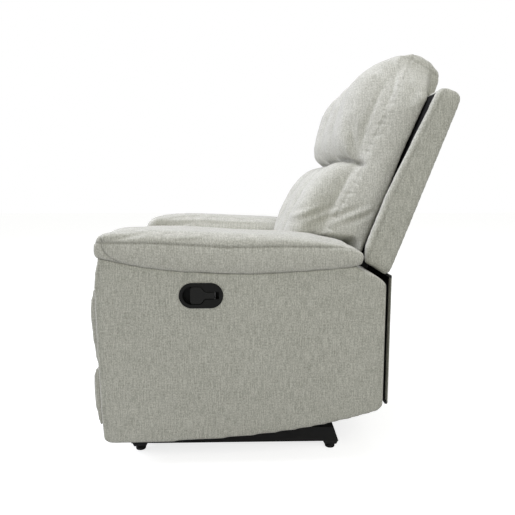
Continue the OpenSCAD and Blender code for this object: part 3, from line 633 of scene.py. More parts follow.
def arm_cover():
    """One arm box in its stretched cover: softened edges, crowned sides, corner seams."""
    outline = arm_outline(0.001)
    obj = prism("arm_cover_left", outline, ARM_IN + 0.001, ARM_OUT - 0.001)
    rail = points(NODES["base_side_rails"])
    rail = rail[rail[:, 0] > 0]
    (x0, y0, _), (x1, y1, z1) = rail.min(axis=0), rail.max(axis=0)
    room = [(y0 - 0.02, 0.02), (y1 + 0.02, 0.02), (y1 + 0.02, z1 + 0.05), (y0 - 0.02, z1 + 0.05)]
    cut(obj, prism("base_recess", room, x0 - 0.016, x1 + 0.016))
    remesh(obj, 0.007)
    relax(obj, 7)
    subdivide(obj)

    def crown(co, no):
        inside = outline_distance(co, outline)
        side = smoothstep(0.5, 0.95, np.abs(no[:, 0])) * smoothstep(0.0, 0.12, inside)
        drag = ripples(co * np.array([1, 1, 0.25]), 0.11, 3) * smoothstep(0.0, 0.05, inside)
        outer = no[:, 0] > 0
        front = smoothstep(0.6, 0.95, -no[:, 1])
        middle = 1 - ((co[:, 0] - (ARM_IN + ARM_OUT) / 2) / ((ARM_OUT - ARM_IN) / 2)) ** 2
        return side * (0.0022 * outer + 0.0005 * drag) + front * 0.002 * middle

    push(obj, crown)
    groove(obj, lambda co: co[:, 1] - ARM_FRONT - 0.011,
           lambda co, no: smoothstep(0.5, 0.9, np.abs(no[:, 0])), depth=0.0012, width=0.0026, shade=0.15)
    groove(obj, lambda co: ARM_REAR - 0.012 - co[:, 1],
           lambda co, no: smoothstep(0.5, 0.9, np.abs(no[:, 0])) * smoothstep(0.46, 0.44, co[:, 2]),
           depth=0.0010, width=0.0026, shade=0.12)
    co = points(obj)
    beside_footrest = smoothstep(FOOT_HALF + 0.004, FOOT_HALF + 0.020, np.abs(co[:, 0]))
    roll = np.interp(co[:, 2], [0.050, 0.070, 0.150, 0.235, 0.290, 0.370, 0.435, 0.465, 0.500, 0.530],
                     [-0.002, 0.003, 0.007, 0.009, 0.011, 0.012, 0.012, 0.0125, 0.009, 0.002])
    co[:, 1] -= roll * beside_footrest * smoothstep(ARM_FRONT + 0.060, ARM_FRONT + 0.006, co[:, 1])
    set_points(obj, co)
    return obj


def stadium_prism(name, x0, x1, length, height, y, z, steps=16):
    half = (length - height) / 2
    outline = []
    for side in (1, -1):
        for i in range(steps + 1):
            a = math.radians(-90 + 180 * i / steps) + (0 if side > 0 else math.pi)
            outline.append((y + side * half + height / 2 * math.cos(a), z + height / 2 * math.sin(a)))
    return prism(name, outline, x0, x1)


def cut(obj, cutter):
    m = obj.modifiers.new("cut", "BOOLEAN")
    m.operation = "DIFFERENCE"
    m.object = cutter
    m.solver = "EXACT"
    bake(obj)
    bpy.data.objects.remove(cutter)
    return obj


LATCH_LO, LATCH_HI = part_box("latch_bezel")
LATCH_Y = (LATCH_LO.y + LATCH_HI.y) / 2
LATCH_Z = (LATCH_LO.z + LATCH_HI.z) / 2
LATCH_LEN = LATCH_HI.y - LATCH_LO.y
LATCH_H = LATCH_HI.z - LATCH_LO.z
RIM = 0.0025

left_cover = arm_cover()
right_cover = mirrored(left_cover, "arm_cover_right")
cut(left_cover, stadium_prism("latch_cutter", LATCH_LO.x - 0.002, LATCH_HI.x + 0.02,
                              LATCH_LEN - 2 * RIM, LATCH_H - 2 * RIM, LATCH_Y, LATCH_Z))
ARM_NODES = ("arm_front_panels", "arm_rear_panels", "arm_rear_caps", "arm_inner_panels", "arm_top_boards")
# the arm panels take the darker linen copy, painted shade
finish_piece(left_cover, "chassis", SHADED_PANEL_LINEN, ("left_outer_panel",) + ARM_NODES)
finish_piece(right_cover, "chassis", SHADED_PANEL_LINEN, ("right_outer_panel",) + ARM_NODES)

# ---------------------------------------------------------------- arm pillows

SEAM_Y = [-0.460, -0.286, -0.109, 0.026, 0.172, 0.230]
SEAM_Z = [0.575, 0.5735, 0.563, 0.565, 0.562, 0.552]
PILLOW_TOP = [  # y behind the front, z under the crown
    (0.002, 0.052), (0.005, 0.034), (0.018, 0.019), (0.040, 0.011), (0.075, 0.008), (0.140, 0.006),
    (0.220, 0.008), (0.335, 0.014), (0.470, 0.019), (0.550, 0.027), (0.630, 0.043), (0.668, 0.056)]


def pillow_mid(co):
    """Height of the seam round a pillow; it sits lower on the side that faces the sitter."""
    inner = smoothstep(0.5 * (PILLOW_IN + PILLOW_OUT), PILLOW_IN + 0.02, co[:, 0])
    return np.interp(co[:, 1], SEAM_Y, SEAM_Z) - 0.034 * inner


def arm_pillow():
    front, rear = PILLOW_FRONT + 0.007, PILLOW_REAR
    inset = 0.006
    top = [(front + y + inset, ARM_TOP - z - inset) for y, z in PILLOW_TOP]
    ys = np.linspace(rear - 0.020, ARM_FRONT + 0.006, 12)
    bottom = [(float(y), float(arm_line(y)) + 0.001) for y in ys]
    outline = (top + [(rear + 0.006, 0.540), (rear + 0.002, 0.518)] + bottom
               + [(ARM_FRONT - 0.001, 0.534), (front + inset + 0.004, 0.546)])
    middle, half = (PILLOW_IN + PILLOW_OUT) / 2, (PILLOW_OUT - PILLOW_IN) / 2
    obj = prism("arm_pillow_left", outline, PILLOW_IN + 0.009, PILLOW_OUT - 0.006)
    remesh(obj, 0.006)
    co = points(obj)
    across = np.clip(np.abs(co[:, 0] - middle) / half, 0, 1)
    above = smoothstep(0.0, 0.040, co[:, 2] - pillow_mid(co))
    co[:, 2] -= 0.010 * above * across ** 5
    nose = smoothstep(front + 0.060, front, co[:, 1])
    co[:, 1] += 0.005 * nose * across ** 8
    set_points(obj, co)
    relax(obj, 5)
    co = points(obj)
    across = np.clip(np.abs(co[:, 0] - middle) / half, 0, 1)
    ring = np.maximum(smoothstep(0.82, 0.9, across), smoothstep(front + 0.016, front + 0.008, co[:, 1]))
    seam = bell(co[:, 2] - pillow_mid(co), 0.004) * ring
    seat = smoothstep(0.006, 0.002, co[:, 2] - arm_line(co[:, 1]))
    pinned = np.maximum(seam, seat)
    inflate(obj, lambda _: pinned, pressure=3.0, cap=0.008)
    subdivide(obj)

    def over_seam(co):
        return co[:, 2] - pillow_mid(co)

    def outer(co):
        return smoothstep(middle, middle + 0.04, co[:, 0])

    def upright(no):
        return smoothstep(0.93, 0.7, np.abs(no[:, 2]))

    groove(obj, over_seam, lambda co, no: upright(no), depth=0.0024, width=0.0028, shade=0.55)
    # the seam of the pillow's nose: a short upright above the long seam, a sweep to the rear below it
    groove(obj,
           lambda co: co[:, 1] - front - 0.036 - 0.056 * np.clip((0.570 - co[:, 2]) / 0.051, 0, 1.4) ** 2,
           lambda co, no: outer(co) * upright(no) * (over_seam(co) < 0),
           depth=0.0020, width=0.0026, shade=0.6)
    groove(obj, lambda co: co[:, 1] - front - 0.037,
           lambda co, no: outer(co) * smoothstep(0.0, 0.003, over_seam(co))
           * smoothstep(0.020, 0.010, over_seam(co)), depth=0.0022, width=0.0026, shade=0.7)

    def puckers(co, no):
        near_seam = bell(over_seam(co) - 0.005, 0.014) * upright(no)
        fine = np.sin(co[:, 1] * 2 * math.pi / 0.019 + 3 * ripples(co, 0.09, 11))
        broad = ripples(co * np.array([1, 0.6, 1]), 0.18, 5)
        rear_tuck = bell(co[:, 1] - rear, 0.035) * ripples(co, 0.030, 8)
        over = over_seam(co)
        nose_full = smoothstep(front + 0.105, front + 0.026, co[:, 1]) * smoothstep(0.001, 0.015, over)
        nose_low = smoothstep(front + 0.022, front + 0.006, co[:, 1]) * smoothstep(0.0, -0.008, over)
        return (0.0004 * near_seam * fine + 0.0014 * broad + 0.0016 * rear_tuck
                + 0.0095 * nose_full - 0.0045 * nose_low)

    push(obj, puckers)
    co = points(obj)
    rest = arm_line(co[:, 1]) + 0.0004
    over_panel = (co[:, 1] > ARM_FRONT) & (co[:, 0] > ARM_IN) & (co[:, 0] < ARM_OUT)
    co[:, 2] = np.where(over_panel, np.maximum(co[:, 2], rest), co[:, 2])
    set_points(obj, co)
    return obj


left_pillow = arm_pillow()
right_pillow = mirrored(left_pillow, "arm_pillow_right")
for side, pillow in (("left", left_pillow), ("right", right_pillow)):
    finish_piece(pillow, "chassis", COVER, (side + "_arm_pillow",))

# ---------------------------------------------------------------- back cushion

CREASE_U = 0.246
CUSHION_HALF = corner("headrest_cushion", HIGH, X)
LUMBAR_HALF = corner("lumbar_cushion", HIGH, X)
LOBE_X = 0.098
CUSHION_FRONT = [  # v, u of the crown line, from the seat up
    (0.232, -0.104), (0.262, -0.070), (0.272, -0.020), (0.272, 0.060), (0.264, 0.130), (0.248, 0.180),
    (0.228, 0.212), (0.200, 0.240), (0.200, 0.252), (0.222, 0.268), (0.238, 0.300), (0.245, 0.350),
    (0.248, 0.415), (0.240, 0.468), (0.206, 0.522), (0.168, 0.556), (0.130, 0.572), (0.104, 0.576),
    (0.072, 0.571), (0.040, 0.557), (0.026, 0.540), (0.025, 0.500), (0.034, 0.482)]
CUSHION_DEEP = 0.065  # the cushion's rear face stands inside the tray of the outer back
CUSHION_BACK = [(CUSHION_DEEP - 0.004, 0.482), (CUSHION_DEEP, 0.420), (CUSHION_DEEP, -0.036)]
# how much wider the cushion is at its rear edge, at the seat and at the top
WING_LOW, WING_TOP = 0.056, 0.084


def side_seam(u):
    """v of the seam between a cushion's front cover and its side, up the back."""
    return np.interp(u, [-0.10, 0.112, 0.220, 0.283, 0.420, 0.531, 0.60],
                     [0.175, 0.163, 0.147, 0.154, 0.142, 0.128, 0.115])


def back_cushion():
    outline = [back_point(v, u) for v, u in CUSHION_FRONT + CUSHION_BACK]
    obj = prism("back_cushion", outline, -CUSHION_HALF + 0.004, CUSHION_HALF - 0.004)
    remesh(obj, 0.0068)
    relax(obj, 3)
    co = points(obj)
    v, u = back_uv(co)
    x = co[:, 0]
    # narrow between the arm pillows, winged towards the outer back
    arm_top = np.interp(co[:, 1], [-0.10, 0.0, 0.10, 0.20], [0.592, 0.582, 0.572, 0.554])
    between_arms = smoothstep(arm_top + 0.016, arm_top, co[:, 2]) * smoothstep(
        PILLOW_REAR + 0.022, PILLOW_REAR + 0.004, co[:, 1])
    side = smoothstep(0.18, 0.27, np.abs(x))
    wing = WING_LOW + (WING_TOP - WING_LOW) * np.clip(u / BACK_LEN, 0, 1)
    wing = wing * np.clip((0.215 - v) / 0.140, 0, 1) * (1 - between_arms) * side * smoothstep(0.575, 0.445, u)
    wing = wing * (1 - smoothstep(0.455, 0.480, u) * smoothstep(0.072, 0.050, v))
    narrow = (CUSHION_HALF - LUMBAR_HALF + 0.006) * between_arms * side
    co[:, 0] = x + np.sign(x) * (wing - narrow)
    # the front cover rolls from the side seam to the outer crown
    ahead = np.clip((v - side_seam(u)) / 0.090, 0, 1.2)
    edge = np.clip((np.abs(x) - (CUSHION_HALF - 0.075)) / 0.075, 0, 1)
    back_off = -0.056 * (1 - np.sqrt(np.clip(1 - edge ** 2.4, 0, 1))) * np.clip(ahead, 0, 1)
    # three upright lobes with sewn channels between them
    channel = bell(np.abs(x) - LOBE_X, 0.032) * smoothstep(0.3, 0.9, ahead)
    crease = bell(u - CREASE_U, 0.010) * smoothstep(0.0, 0.35, ahead)
    co += BACK_FORWARD * (back_off - 0.034 * channel - 0.020 * crease)[:, None]
    set_points(obj, co)
    relax(obj, 5)

    co = points(obj)
    v, u = back_uv(co)
    front = smoothstep(0.02, 0.05, v - side_seam(u))
    pinned = np.maximum.reduce([
        bell(np.abs(co[:, 0]) - LOBE_X, 0.008) * front,
        bell(u - CREASE_U, 0.007) * smoothstep(-0.02, 0.01, v - side_seam(u)),
        smoothstep(0.012, 0.006, v - CUSHION_DEEP) * (u < BACK_LEN + 0.01),
        smoothstep(0.630, 0.610, co[:, 2]) * smoothstep(0.20, 0.24, np.abs(co[:, 0])),
    ])
    inflate(obj, lambda _: pinned, pressure=4.0, cap=0.022)
    subdivide(obj)
    finish_cushion(obj)
    return obj


def finish_cushion(obj):
    """Seams, gathers and creases, put in after the cover has its shape."""

    def local(co):
        v, u = back_uv(co)
        return v, u, np.abs(co[:, 0]), v - side_seam(u)

    groove(obj, lambda co: local(co)[3],
           lambda co, no: smoothstep(0.20, 0.24, local(co)[2]), depth=0.0012, width=0.0026, shade=0.12)
    groove(obj, lambda co: local(co)[2] - LOBE_X,
           lambda co, no: smoothstep(0.02, 0.06, local(co)[3]), depth=0.0060, width=0.0060, shade=0.6)
    groove(obj, lambda co: local(co)[1] - CREASE_U,
           lambda co, no: smoothstep(-0.012, 0.010, local(co)[3]), depth=0.0060, width=0.0050, shade=0.8)
    groove(obj, lambda co: local(co)[1] - 0.553 + 0.16 * np.clip(0.12 - local(co)[0], 0, 1),
           lambda co, no: smoothstep(0.20, 0.24, local(co)[2]) * smoothstep(0.150, 0.135, local(co)[0]),
           depth=0.0012, width=0.0030, shade=0.25)

    def gathers(co, no):
        v, u, x, ahead = local(co)
        side = smoothstep(0.20, 0.26, x)
        # short tucks across the side seam, uneven in length and spacing
        phase = u / 0.027 + 0.45 * ripples(co * np.array([0, 1, 1]), 0.10, 21)
        tuck = np.exp(-((phase - np.round(phase)) / 0.11) ** 2) * side * bell(ahead + 0.002, 0.010)
        tuck *= smoothstep(0.535, 0.490, u)
        low_folds = side * bell(co[:, 2] - 0.635, 0.022) * smoothstep(0.07, 0.10, v) * np.sin(
            (u * 0.75 + v * 0.8) * 2 * math.pi / 0.034)
        crease_tucks = bell(u - CREASE_U, 0.030) * smoothstep(0.0, 0.03, ahead) * np.sin(
            co[:, 0] * 2 * math.pi / 0.034 + 2.0 * ripples(co, 0.1, 31))
        top_folds = side * bell(u - 0.553, 0.020) * np.sin(v * 2 * math.pi / 0.030 + ripples(co, 0.08, 71))
        broad = ripples(co, 0.17, 41)
        behind = side * smoothstep(0.0, -0.02, ahead) * ripples(co * np.array([1, 1, 0.5]), 0.085, 51)
        return (-0.0026 * tuck + 0.0026 * low_folds + 0.0014 * crease_tucks + 0.0006 * top_folds
                + 0.0024 * broad + 0.0014 * behind)

    push(obj, gathers)


cushion = back_cushion()
finish_piece(cushion, "back", COVER, ("headrest_cushion", "lumbar_cushion"))

# ---------------------------------------------------------------- outer back

SHELL_ROUND = 0.022
SHELL_WALL = 0.024  # thickness of the tray's padded sides
SHELL_RIM = 0.016  # thickness of its top edge
LINING_V = 0.0605  # how far the lining's rear face stands ahead of the shell's rear face


def shell_outline(inset=0.0):
    sweep = SWEEP_R + 0.014 + inset
    steps = [i / 6 for i in range(7)]
    foot = [(RECLINE.y + sweep * math.cos(math.radians(45 + 31 * s)),
             RECLINE.z + sweep * math.sin(math.radians(45 + 31 * s))) for s in steps]
    r = SHELL_ROUND
    v_front = SHELL_TOP_T - inset
    front_top = [back_point(v_front - r + r * math.cos(math.radians(90 * s)),
                            BACK_LEN - inset - r + r * math.sin(math.radians(90 * s))) for s in steps]
    rear_top = [back_point(inset + r - r * math.sin(math.radians(90 * s)),
                           BACK_LEN - inset - r + r * math.cos(math.radians(90 * s))) for s in steps]
    return (foot + [back_point(SHELL_LOW_T - inset, 0.040), back_point(SHELL_LOW_T - inset, SHELL_BULGE)]
            + front_top + rear_top + [back_point(inset, 0.0 + inset)])


def back_shell():
    """The outer back: a padded tray whose side walls stand ahead of a black lining that also paints the shade
    of the gap.
    """
    obj = prism("back_shell", shell_outline(0.001), -SHELL_HALF + 0.001, SHELL_HALF - 0.001)
    hollow = [back_point(v, u) for v, u in (
        (0.150, -0.05), (0.150, BACK_LEN - SHELL_RIM), (0.060, BACK_LEN - SHELL_RIM),
        (0.030, BACK_LEN - 0.045), (0.030, 0.03), (0.060, -0.05))]
    cut(obj, prism("shell_hollow", hollow, -SHELL_HALF + SHELL_WALL, SHELL_HALF - SHELL_WALL))
    remesh(obj, 0.006)
    relax(obj, 8)
    subdivide(obj)

    def seam_line(co):
        v, u = back_uv(co)
        return v - shell_front(u) + 0.017

    groove(obj, seam_line, lambda co, no: smoothstep(0.5, 0.9, np.abs(no[:, 0]))
           * (np.abs(co[:, 0]) > SHELL_HALF - 0.01), depth=0.0012, width=0.0026, shade=0.28)
    groove(obj, lambda co: np.abs(co[:, 0]) - SHELL_HALF + 0.012,
           lambda co, no: smoothstep(0.4, 0.8, -(no @ BACK_FORWARD)), depth=0.0010, width=0.0026, shade=0.20)

    def crown(co, no):
        v, u = back_uv(co)
        side = smoothstep(0.5, 0.95, np.abs(no[:, 0])) * (np.abs(co[:, 0]) > SHELL_HALF - 0.01)
        rear = smoothstep(0.5, 0.95, -(no @ BACK_FORWARD)) * (v < 0.01)
        belly = (np.clip(1 - (co[:, 0] / SHELL_HALF) ** 2, 0, 1)
                 * np.clip(u * (BACK_LEN - u) / (BACK_LEN / 2) ** 2, 0, 1))
        drag = ripples(co * np.array([1, 0.4, 0.3]), 0.10, 61)
        return side * (0.0012 * drag) + rear * (0.004 * belly + 0.0008 * drag)

    push(obj, crown)
    return obj


shell = back_shell()
# the outer back takes the darker linen copy, painted shade
finish_piece(shell, "back", SHADED_PANEL_LINEN,
             ("left_shell_side", "right_shell_side", "shell_rear_panel", "shell_top_cap"))


def shell_shade_lining():
    """Black cloth stretched over the front of the back frame, inside the tray; near black, it also paints the
    deep shade of the gap beside the cushion.
    """
    high = BACK_LEN - SHELL_RIM - 0.002
    rear, front = LINING_V, LINING_V + 0.002
    floor = [back_point(v, u) for v, u in ((rear, 0.0), (front, 0.0), (front, high), (rear, high))]
    obj = prism("shell_shade_lining", floor, -SHELL_HALF + SHELL_WALL, SHELL_HALF - SHELL_WALL)
    return finish_piece(obj, "back", GAP_SHADE_LINING, ("shell_front_panel",), smooth=False)


shell_shade_lining()

# ---------------------------------------------------------------- rear flap

FLAP_LOW = corner("rear_flap", LOW, Z)
FLAP_HALF = corner("rear_flap", HIGH, X)


def rear_flap():
    """The cloth that hangs behind the mechanism: cover cloth outside in the darker painted-shade copy of the
    linen, black cambric inside, near black so it also paints the shade behind the arms.
    """
    width, length = 2 * FLAP_HALF, FLAP_PIVOT.z - FLAP_LOW + 0.006
    bm = bmesh.new()
    bmesh.ops.create_grid(bm, x_segments=84, y_segments=36, size=0.5)
    for vert in bm.verts:
        x, down = vert.co.x * width, (0.5 - vert.co.y) * length
        slack = 0.0010 * math.sin(x * 2 * math.pi / 0.21) * math.sin(math.pi * down / length)
        vert.co = (x, FLAP_PIVOT.y + 0.0045 + slack, FLAP_PIVOT.z + 0.002 - down)
    obj = new_object("rear_flap_cloth", bm)
    if obj.data.polygons[0].normal.y < 0:
        obj.data.flip_normals()
    finish_piece(obj, "rear_flap", SHADED_PANEL_LINEN, ("rear_flap",))
    for turned_in in (GAP_SHADE_LINING, SHADED_PANEL_LINEN, SHADED_PANEL_LINEN):
        obj.data.materials.append(turned_in)
    for face in obj.data.polygons:
        face.material_index = 2 if abs(face.center.x) > FLAP_HALF - 0.018 else 0
    thick = obj.modifiers.new("thickness", "SOLIDIFY")
    thick.thickness = 0.0016
    thick.offset = -1
    thick.material_offset = 1
    return obj


rear_flap()

# ---------------------------------------------------------------- footrest



def lobes(x, half, count):
    """1 on the crown of each of a row of sewn lobes and 0 in the channels between them."""
    return np.abs(np.sin((x / half + 1) / 2 * count * math.pi))


def foot_pad(name, node):
    low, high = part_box(node)
    rear, deep = high.y - 0.0005, high.y - low.y
    tall = high.z - low.z
    steps = [i / 8 for i in range(9)]
    front = [(rear - 0.004 - (deep - 0.003) * math.sin(math.pi * (0.04 + 0.87 * s ** 1.4)) ** 0.60,
              low.z + 0.003 + (tall - 0.006) * s) for s in steps]
    outline = [(rear, low.z + 0.003)] + front + [(rear, high.z - 0.003)]
    obj = prism(name, outline, low.x + 0.001, high.x - 0.001)
    remesh(obj, 0.006)
    relax(obj, 2)
    co = points(obj)
    pinned = np.maximum(smoothstep(0.006, 0.003, rear - co[:, 1]),
                        (1 - smoothstep(0.0, 0.10, lobes(co[:, 0], high.x, 3))) * 0.9)
    inflate(obj, lambda _: pinned, pressure=3.0, cap=0.006)
    subdivide(obj)
    co = points(obj)
    co[:, 1] = np.minimum(co[:, 1], rear + 0.0002)
    set_points(obj, co)
    for place in (-high.x / 3, high.x / 3):
        groove(obj, lambda co: co[:, 0] - place,
               lambda co, no: smoothstep(0.2, 0.6, -no[:, 1]), depth=0.0045, width=0.0050, shade=0.5)
    push(obj, lambda co, no: smoothstep(0.0, 0.5, -no[:, 1]) * 0.0011 * ripples(co, 0.10, 91))
    finish_piece(obj, "footrest", COVER, (node,))
    return obj


foot_pad("footrest_upper_lobes", "footrest_upper_pad")
foot_pad("footrest_lower_lobes", "footrest_lower_pad")


def covered_board():
    low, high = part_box("footrest_board")
    bm = bmesh.new()
    box_mesh(bm, low, high, bevel=0.0030, segments=3)
    obj = new_object("footrest_board_cover", bm)
    finish_piece(obj, "footrest", SHADED_PANEL_LINEN, ("footrest_board",))
    # the board's rear face in the black lining: painted shade in the gap before the arm fronts
    obj.data.materials.append(GAP_SHADE_LINING)
    for face in obj.data.polygons:
        face.material_index = 1 if face.normal.y > 0.9 else 0
    return obj


covered_board()

# ---------------------------------------------------------------- seat cushion


def seat_cushion():
    low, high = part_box("seat_cushion")
    front, rear, top = low.y, high.y, high.z
    outline = [(front + 0.012, low.z + 0.002), (front + 0.006, low.z + 0.016), (front + 0.005, top - 0.030),
               (front + 0.014, top - 0.013), (front + 0.034, top - 0.005), (-0.10, top - 0.003),
               (0.06, top - 0.008),
               (rear - 0.006, top - 0.014), (rear - 0.004, low.z + 0.010), (rear - 0.012, low.z + 0.002)]
    obj = prism("seat_cushion_cover", outline, low.x + 0.003, high.x - 0.003)
    remesh(obj, 0.0075)
    relax(obj, 4)
    co = points(obj)
    welt = top - 0.022
    pinned = np.maximum(smoothstep(0.012, 0.004, co[:, 2] - low.z),
                        0.8 * bell(co[:, 2] - welt, 0.005) * (np.abs(co[:, 0]) > high.x - 0.02))
    inflate(obj, lambda _: pinned, pressure=3.0, cap=0.006)
    subdivide(obj)
    groove(obj, lambda co: co[:, 2] - welt, lambda co, no: smoothstep(0.85, 0.5, np.abs(no[:, 2])),
           depth=0.0022, width=0.0030, shade=0.4)
    groove(obj, lambda co: co[:, 1] - front - 0.11,
           lambda co, no: smoothstep(0.5, 0.8, no[:, 2]), depth=0.0035, width=0.0040, shade=0.45)
    push(obj, lambda co, no: smoothstep(0.2, 0.7, no[:, 2]) * 0.0016 * ripples(co, 0.16, 15))
    co = points(obj)
    co[:, 2] = np.maximum(co[:, 2], low.z + 0.0004)
    set_points(obj, co)
    finish_piece(obj, "chassis", COVER, ("seat_cushion",))
    return obj


seat_cushion()

# ---------------------------------------------------------------- base: glides and rocker springs


def spun(bm, profile, x, y):
    """A turned solid from (radius, height) pairs, about an upright axis."""
    edges, last = [], None
    for r, z in profile:
        vert = bm.verts.new((x + r, y, z))
        if last:
            edges.append(bm.edges.new((last, vert)))
        last = vert
    bmesh.ops.spin(bm, geom=edges + list({v for e in edges for v in e.verts}), cent=(x, y, 0), axis=(0, 0, 1),
                   angle=2 * math.pi, steps=28, use_merge=True)


def foot_glides():
    low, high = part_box("base_glides")
    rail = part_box("base_side_rails")
    bm = bmesh.new()
    r, stem, pad = 0.0135, 0.006, 0.010
    for x in (low.x + r, high.x - r):
        for y in (low.y + r, high.y - r):
            spun(bm, [(0.0, 0.0), (r - 0.003, 0.0), (r - 0.0008, 0.001), (r, 0.003), (r, 0.008),
                      (r - 0.003, 0.010), (stem, 0.011), (stem, high.z - pad), (0.0, high.z - pad)], x, y)
            reach = min(0.021, y - rail[0].y, rail[1].y - y)
            made = box_mesh(bm, (x - 0.014, y - reach, high.z - pad), (x + 0.014, y + reach, high.z))
            for vert in made:
                if vert.co.z < high.z - pad / 2:
                    vert.co.y = y + (vert.co.y - y) * 0.78
            edges = list({e for v in made for e in v.link_edges})
            bmesh.ops.bevel(bm, geom=edges, offset=0.002, segments=3, affect="EDGES",
                            profile=0.5, material=-1)
    bmesh.ops.remove_doubles(bm, verts=bm.verts, dist=1e-6)
    obj = new_object("moulded_glides", bm)
    finish_piece(obj, "base", GLIDE_BLACK, ("base_glides",), smooth=False)


foot_glides()


def rocker_coils():
    """Four wound springs; each is a ring of wire spun up its own axis."""
    low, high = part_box("rocker_springs")
    wire, radius, turns, steps = 0.0022, 0.0117, 9, 14
    inset = radius + wire + 0.0001
    climb = (high.z - low.z - 2 * wire) / (turns * steps)
    bm = bmesh.new()
    for x in (low.x + inset, high.x - inset):
        for y in (low.y + inset, high.y - inset):
            ring = bmesh.ops.create_circle(bm, segments=8, radius=wire)["verts"]
            bmesh.ops.rotate(bm, verts=ring, cent=(0, 0, 0), matrix=Matrix.Rotation(math.pi / 2, 3, "X"))
            bmesh.ops.translate(bm, verts=ring, vec=(x + radius, y, low.z + wire))
            edges = list({e for v in ring for e in v.link_edges})
            bmesh.ops.spin(bm, geom=ring + edges, cent=(x, y, 0), axis=(0, 0, 1), dvec=(0, 0, climb),
                           angle=2 * math.pi * turns, steps=turns * steps)
    bmesh.ops.holes_fill(bm, edges=[e for e in bm.edges if e.is_boundary], sides=0)
    obj = new_object("rocker_coils", bm)
    finish_piece(obj, None, SPRING_STEEL, ("rocker_springs",))
    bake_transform(obj)


rocker_coils()

# ---------------------------------------------------------------- latch

LEVER_LO, LEVER_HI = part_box("latch_lever")
HINGE = Vector(JOINTS["latch_pull"]["pos_m"])
STEM_HALF = 0.008
PADDLE_HALF = (LEVER_HI.z - LEVER_LO.z) / 2
PADDLE_REAR = HINGE.y - 0.025
FACE_X = LATCH_HI.x


def lever_outline(grow=0.0, swing=0.0):
    """The finger paddle with its chamfered shoulders, then the stem, in the Y-Z plane."""
    y0, y1, y2 = LEVER_LO.y - grow, PADDLE_REAR + grow * 0.5, HINGE.y + 0.001 + grow + swing
    h, s = PADDLE_HALF + grow, STEM_HALF + grow
    z = LATCH_Z
    return [(y0 + 0.004, z - h), (y1 - 0.009, z - h), (y1, z - s - 0.002), (y1 + 0.003, z - s), (y2, z - s),
            (y2, z + s), (y1 + 0.003, z + s), (y1, z + s + 0.002), (y1 - 0.009, z + h), (y0 + 0.004, z + h),
            (y0, z + h - 0.005), (y0, z - h + 0.005)]


def latch_plate():
    """The moulded escutcheon: a lip, a finger well ahead of the paddle and a slot round the lever."""
    lip = stadium_prism("latch_escutcheon", FACE_X - 0.0062, FACE_X - 0.0004,
                        LATCH_LEN - 0.001, LATCH_H - 0.001, LATCH_Y, LATCH_Z, steps=28)
    cup = stadium_prism("latch_cup", LATCH_LO.x, FACE_X - 0.003, LATCH_LEN - 2 * RIM - 0.004,
                        LATCH_H - 2 * RIM - 0.004, LATCH_Y, LATCH_Z, steps=28)
    m = lip.modifiers.new("join", "BOOLEAN")
    m.operation = "UNION"
    m.object = cup
    m.solver = "EXACT"
    bake(lip)
    bpy.data.objects.remove(cup)
    well = stadium_prism("finger_well", LATCH_LO.x + 0.003, FACE_X + 0.01, LATCH_LEN - 0.018, LATCH_H - 0.018,
                         LATCH_Y, LATCH_Z, steps=28)
    behind = prism("well_limit", [(LEVER_LO.y + 0.004, LATCH_Z - 0.05), (LATCH_HI.y, LATCH_Z - 0.05),
                                  (LATCH_HI.y, LATCH_Z + 0.05), (LEVER_LO.y + 0.004, LATCH_Z + 0.05)],
                   LATCH_LO.x - 0.01, FACE_X + 0.02)
    cut(well, behind)
    cut(lip, well)
    cut(lip, prism("lever_slot", lever_outline(0.0014, 0.0085), LATCH_LO.x + 0.003, FACE_X + 0.01))
    bevel = lip.modifiers.new("moulded_edges", "BEVEL")
    bevel.width = 0.0012
    bevel.segments = 3
    bevel.limit_method = "ANGLE"
    bevel.angle_limit = math.radians(35)
    bevel.harden_normals = False
    bake(lip)
    finish_piece(lip, "chassis", LATCH_BLACK, ("latch_bezel",), smooth=False)
    return lip


def latch_lever():
    obj = prism("latch_paddle", lever_outline(), LATCH_HI.x - 0.0085, FACE_X - 0.0006)
    bevel = obj.modifiers.new("moulded_edges", "BEVEL")
    bevel.width = 0.0011
    bevel.segments = 3
    bevel.limit_method = "ANGLE"
    bevel.angle_limit = math.radians(25)
    bake(obj)
    finish_piece(obj, "latch_lever", LEVER_BLACK, ("latch_lever",), smooth=False)
    return obj


latch_plate()
latch_lever()

# ---------------------------------------------------------------- floor, camera, light

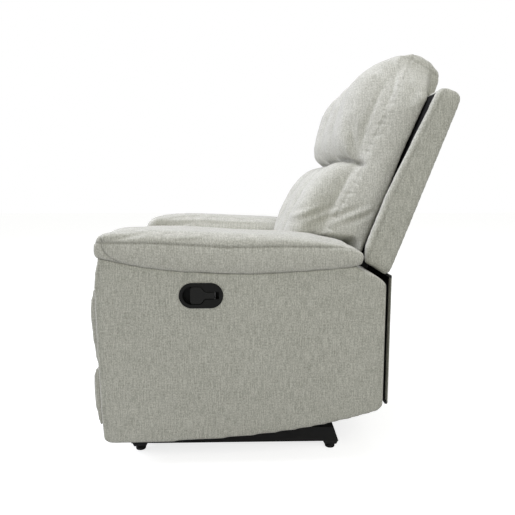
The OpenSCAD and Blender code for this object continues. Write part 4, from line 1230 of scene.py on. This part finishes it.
def studio():
    bm = bmesh.new()
    bmesh.ops.create_grid(bm, x_segments=1, y_segments=1, size=14)
    floor = new_object("studio_floor", bm)
    pale = bpy.data.materials.new("studio_white")
    pale.use_nodes = True
    shader = pale.node_tree.nodes["Principled BSDF"]
    shader.inputs["Base Color"].default_value = (0.50, 0.50, 0.50, 1)
    shader.inputs["Roughness"].default_value = 0.9
    shader.inputs["Specular IOR Level"].default_value = 0.1
    shader.inputs["Emission Color"].default_value = (1, 1, 1, 1)
    lit = pale.node_tree.nodes.new("ShaderNodeLightPath")
    glow = math_node(pale.node_tree, "MULTIPLY", lit.outputs["Is Camera Ray"], 0.77)
    pale.node_tree.links.new(glow, shader.inputs["Emission Strength"])
    floor.data.materials.append(pale)

    camera = bpy.data.cameras.new("view")
    camera.sensor_width = 36
    camera.lens = 36.03
    eye = bpy.data.objects.new("view", camera)
    bpy.context.scene.collection.objects.link(eye)
    yaw, pitch = math.radians(1.5), math.radians(7.5)
    eye.location = (1.724, -0.073, 0.702)
    aim = Vector((-math.cos(yaw) * math.cos(pitch), math.sin(yaw) * math.cos(pitch), -math.sin(pitch)))
    eye.rotation_mode = "QUATERNION"
    eye.rotation_quaternion = aim.to_track_quat("-Z", "Y")
    bpy.context.scene.camera = eye

    def lamp(name, place, target, size, power, tint=(1, 1, 1)):
        data = bpy.data.lights.new(name, "AREA")
        data.shape = "SQUARE"
        data.size = size
        data.energy = power
        data.color = tint
        obj = bpy.data.objects.new(name, data)
        obj.location = place
        obj.rotation_mode = "QUATERNION"
        obj.rotation_quaternion = (Vector(target) - Vector(place)).to_track_quat("-Z", "Y")
        bpy.context.scene.collection.objects.link(obj)

    cool = (0.935, 0.940, 1.07)
    lamp("front_softbox", (-0.5, -3.2, 2.4), (0, 0, 0.5), 2.2, 104, cool)
    lamp("overhead_softbox", (0.2, -0.4, 3.8), (0, 0, 0.4), 2.6, 58, cool)
    lamp("side_fill", (3.9, 0.9, 3.2), (0, 0.2, 0.6), 2.2, 64, (1.0, 0.995, 0.95))

    world = bpy.data.worlds.new("studio")
    world.use_nodes = True
    tree = world.node_tree
    shine = tree.nodes["Background"]
    seen = tree.nodes.new("ShaderNodeBackground")
    shine.inputs[0].default_value = (1.0, 1.0, 0.955, 1)
    shine.inputs[1].default_value = 0.42
    seen.inputs[0].default_value = (1, 1, 1, 1)
    seen.inputs[1].default_value = 1.0
    path = tree.nodes.new("ShaderNodeLightPath")
    mix = tree.nodes.new("ShaderNodeMixShader")
    tree.links.new(path.outputs["Is Camera Ray"], mix.inputs[0])
    tree.links.new(shine.outputs[0], mix.inputs[1])
    tree.links.new(seen.outputs[0], mix.inputs[2])
    tree.links.new(mix.outputs[0], tree.nodes["World Output"].inputs[0])
    bpy.context.scene.world = world
    bpy.context.scene.view_settings.view_transform = "Standard"
    bpy.context.scene.view_settings.look = "None"


studio()
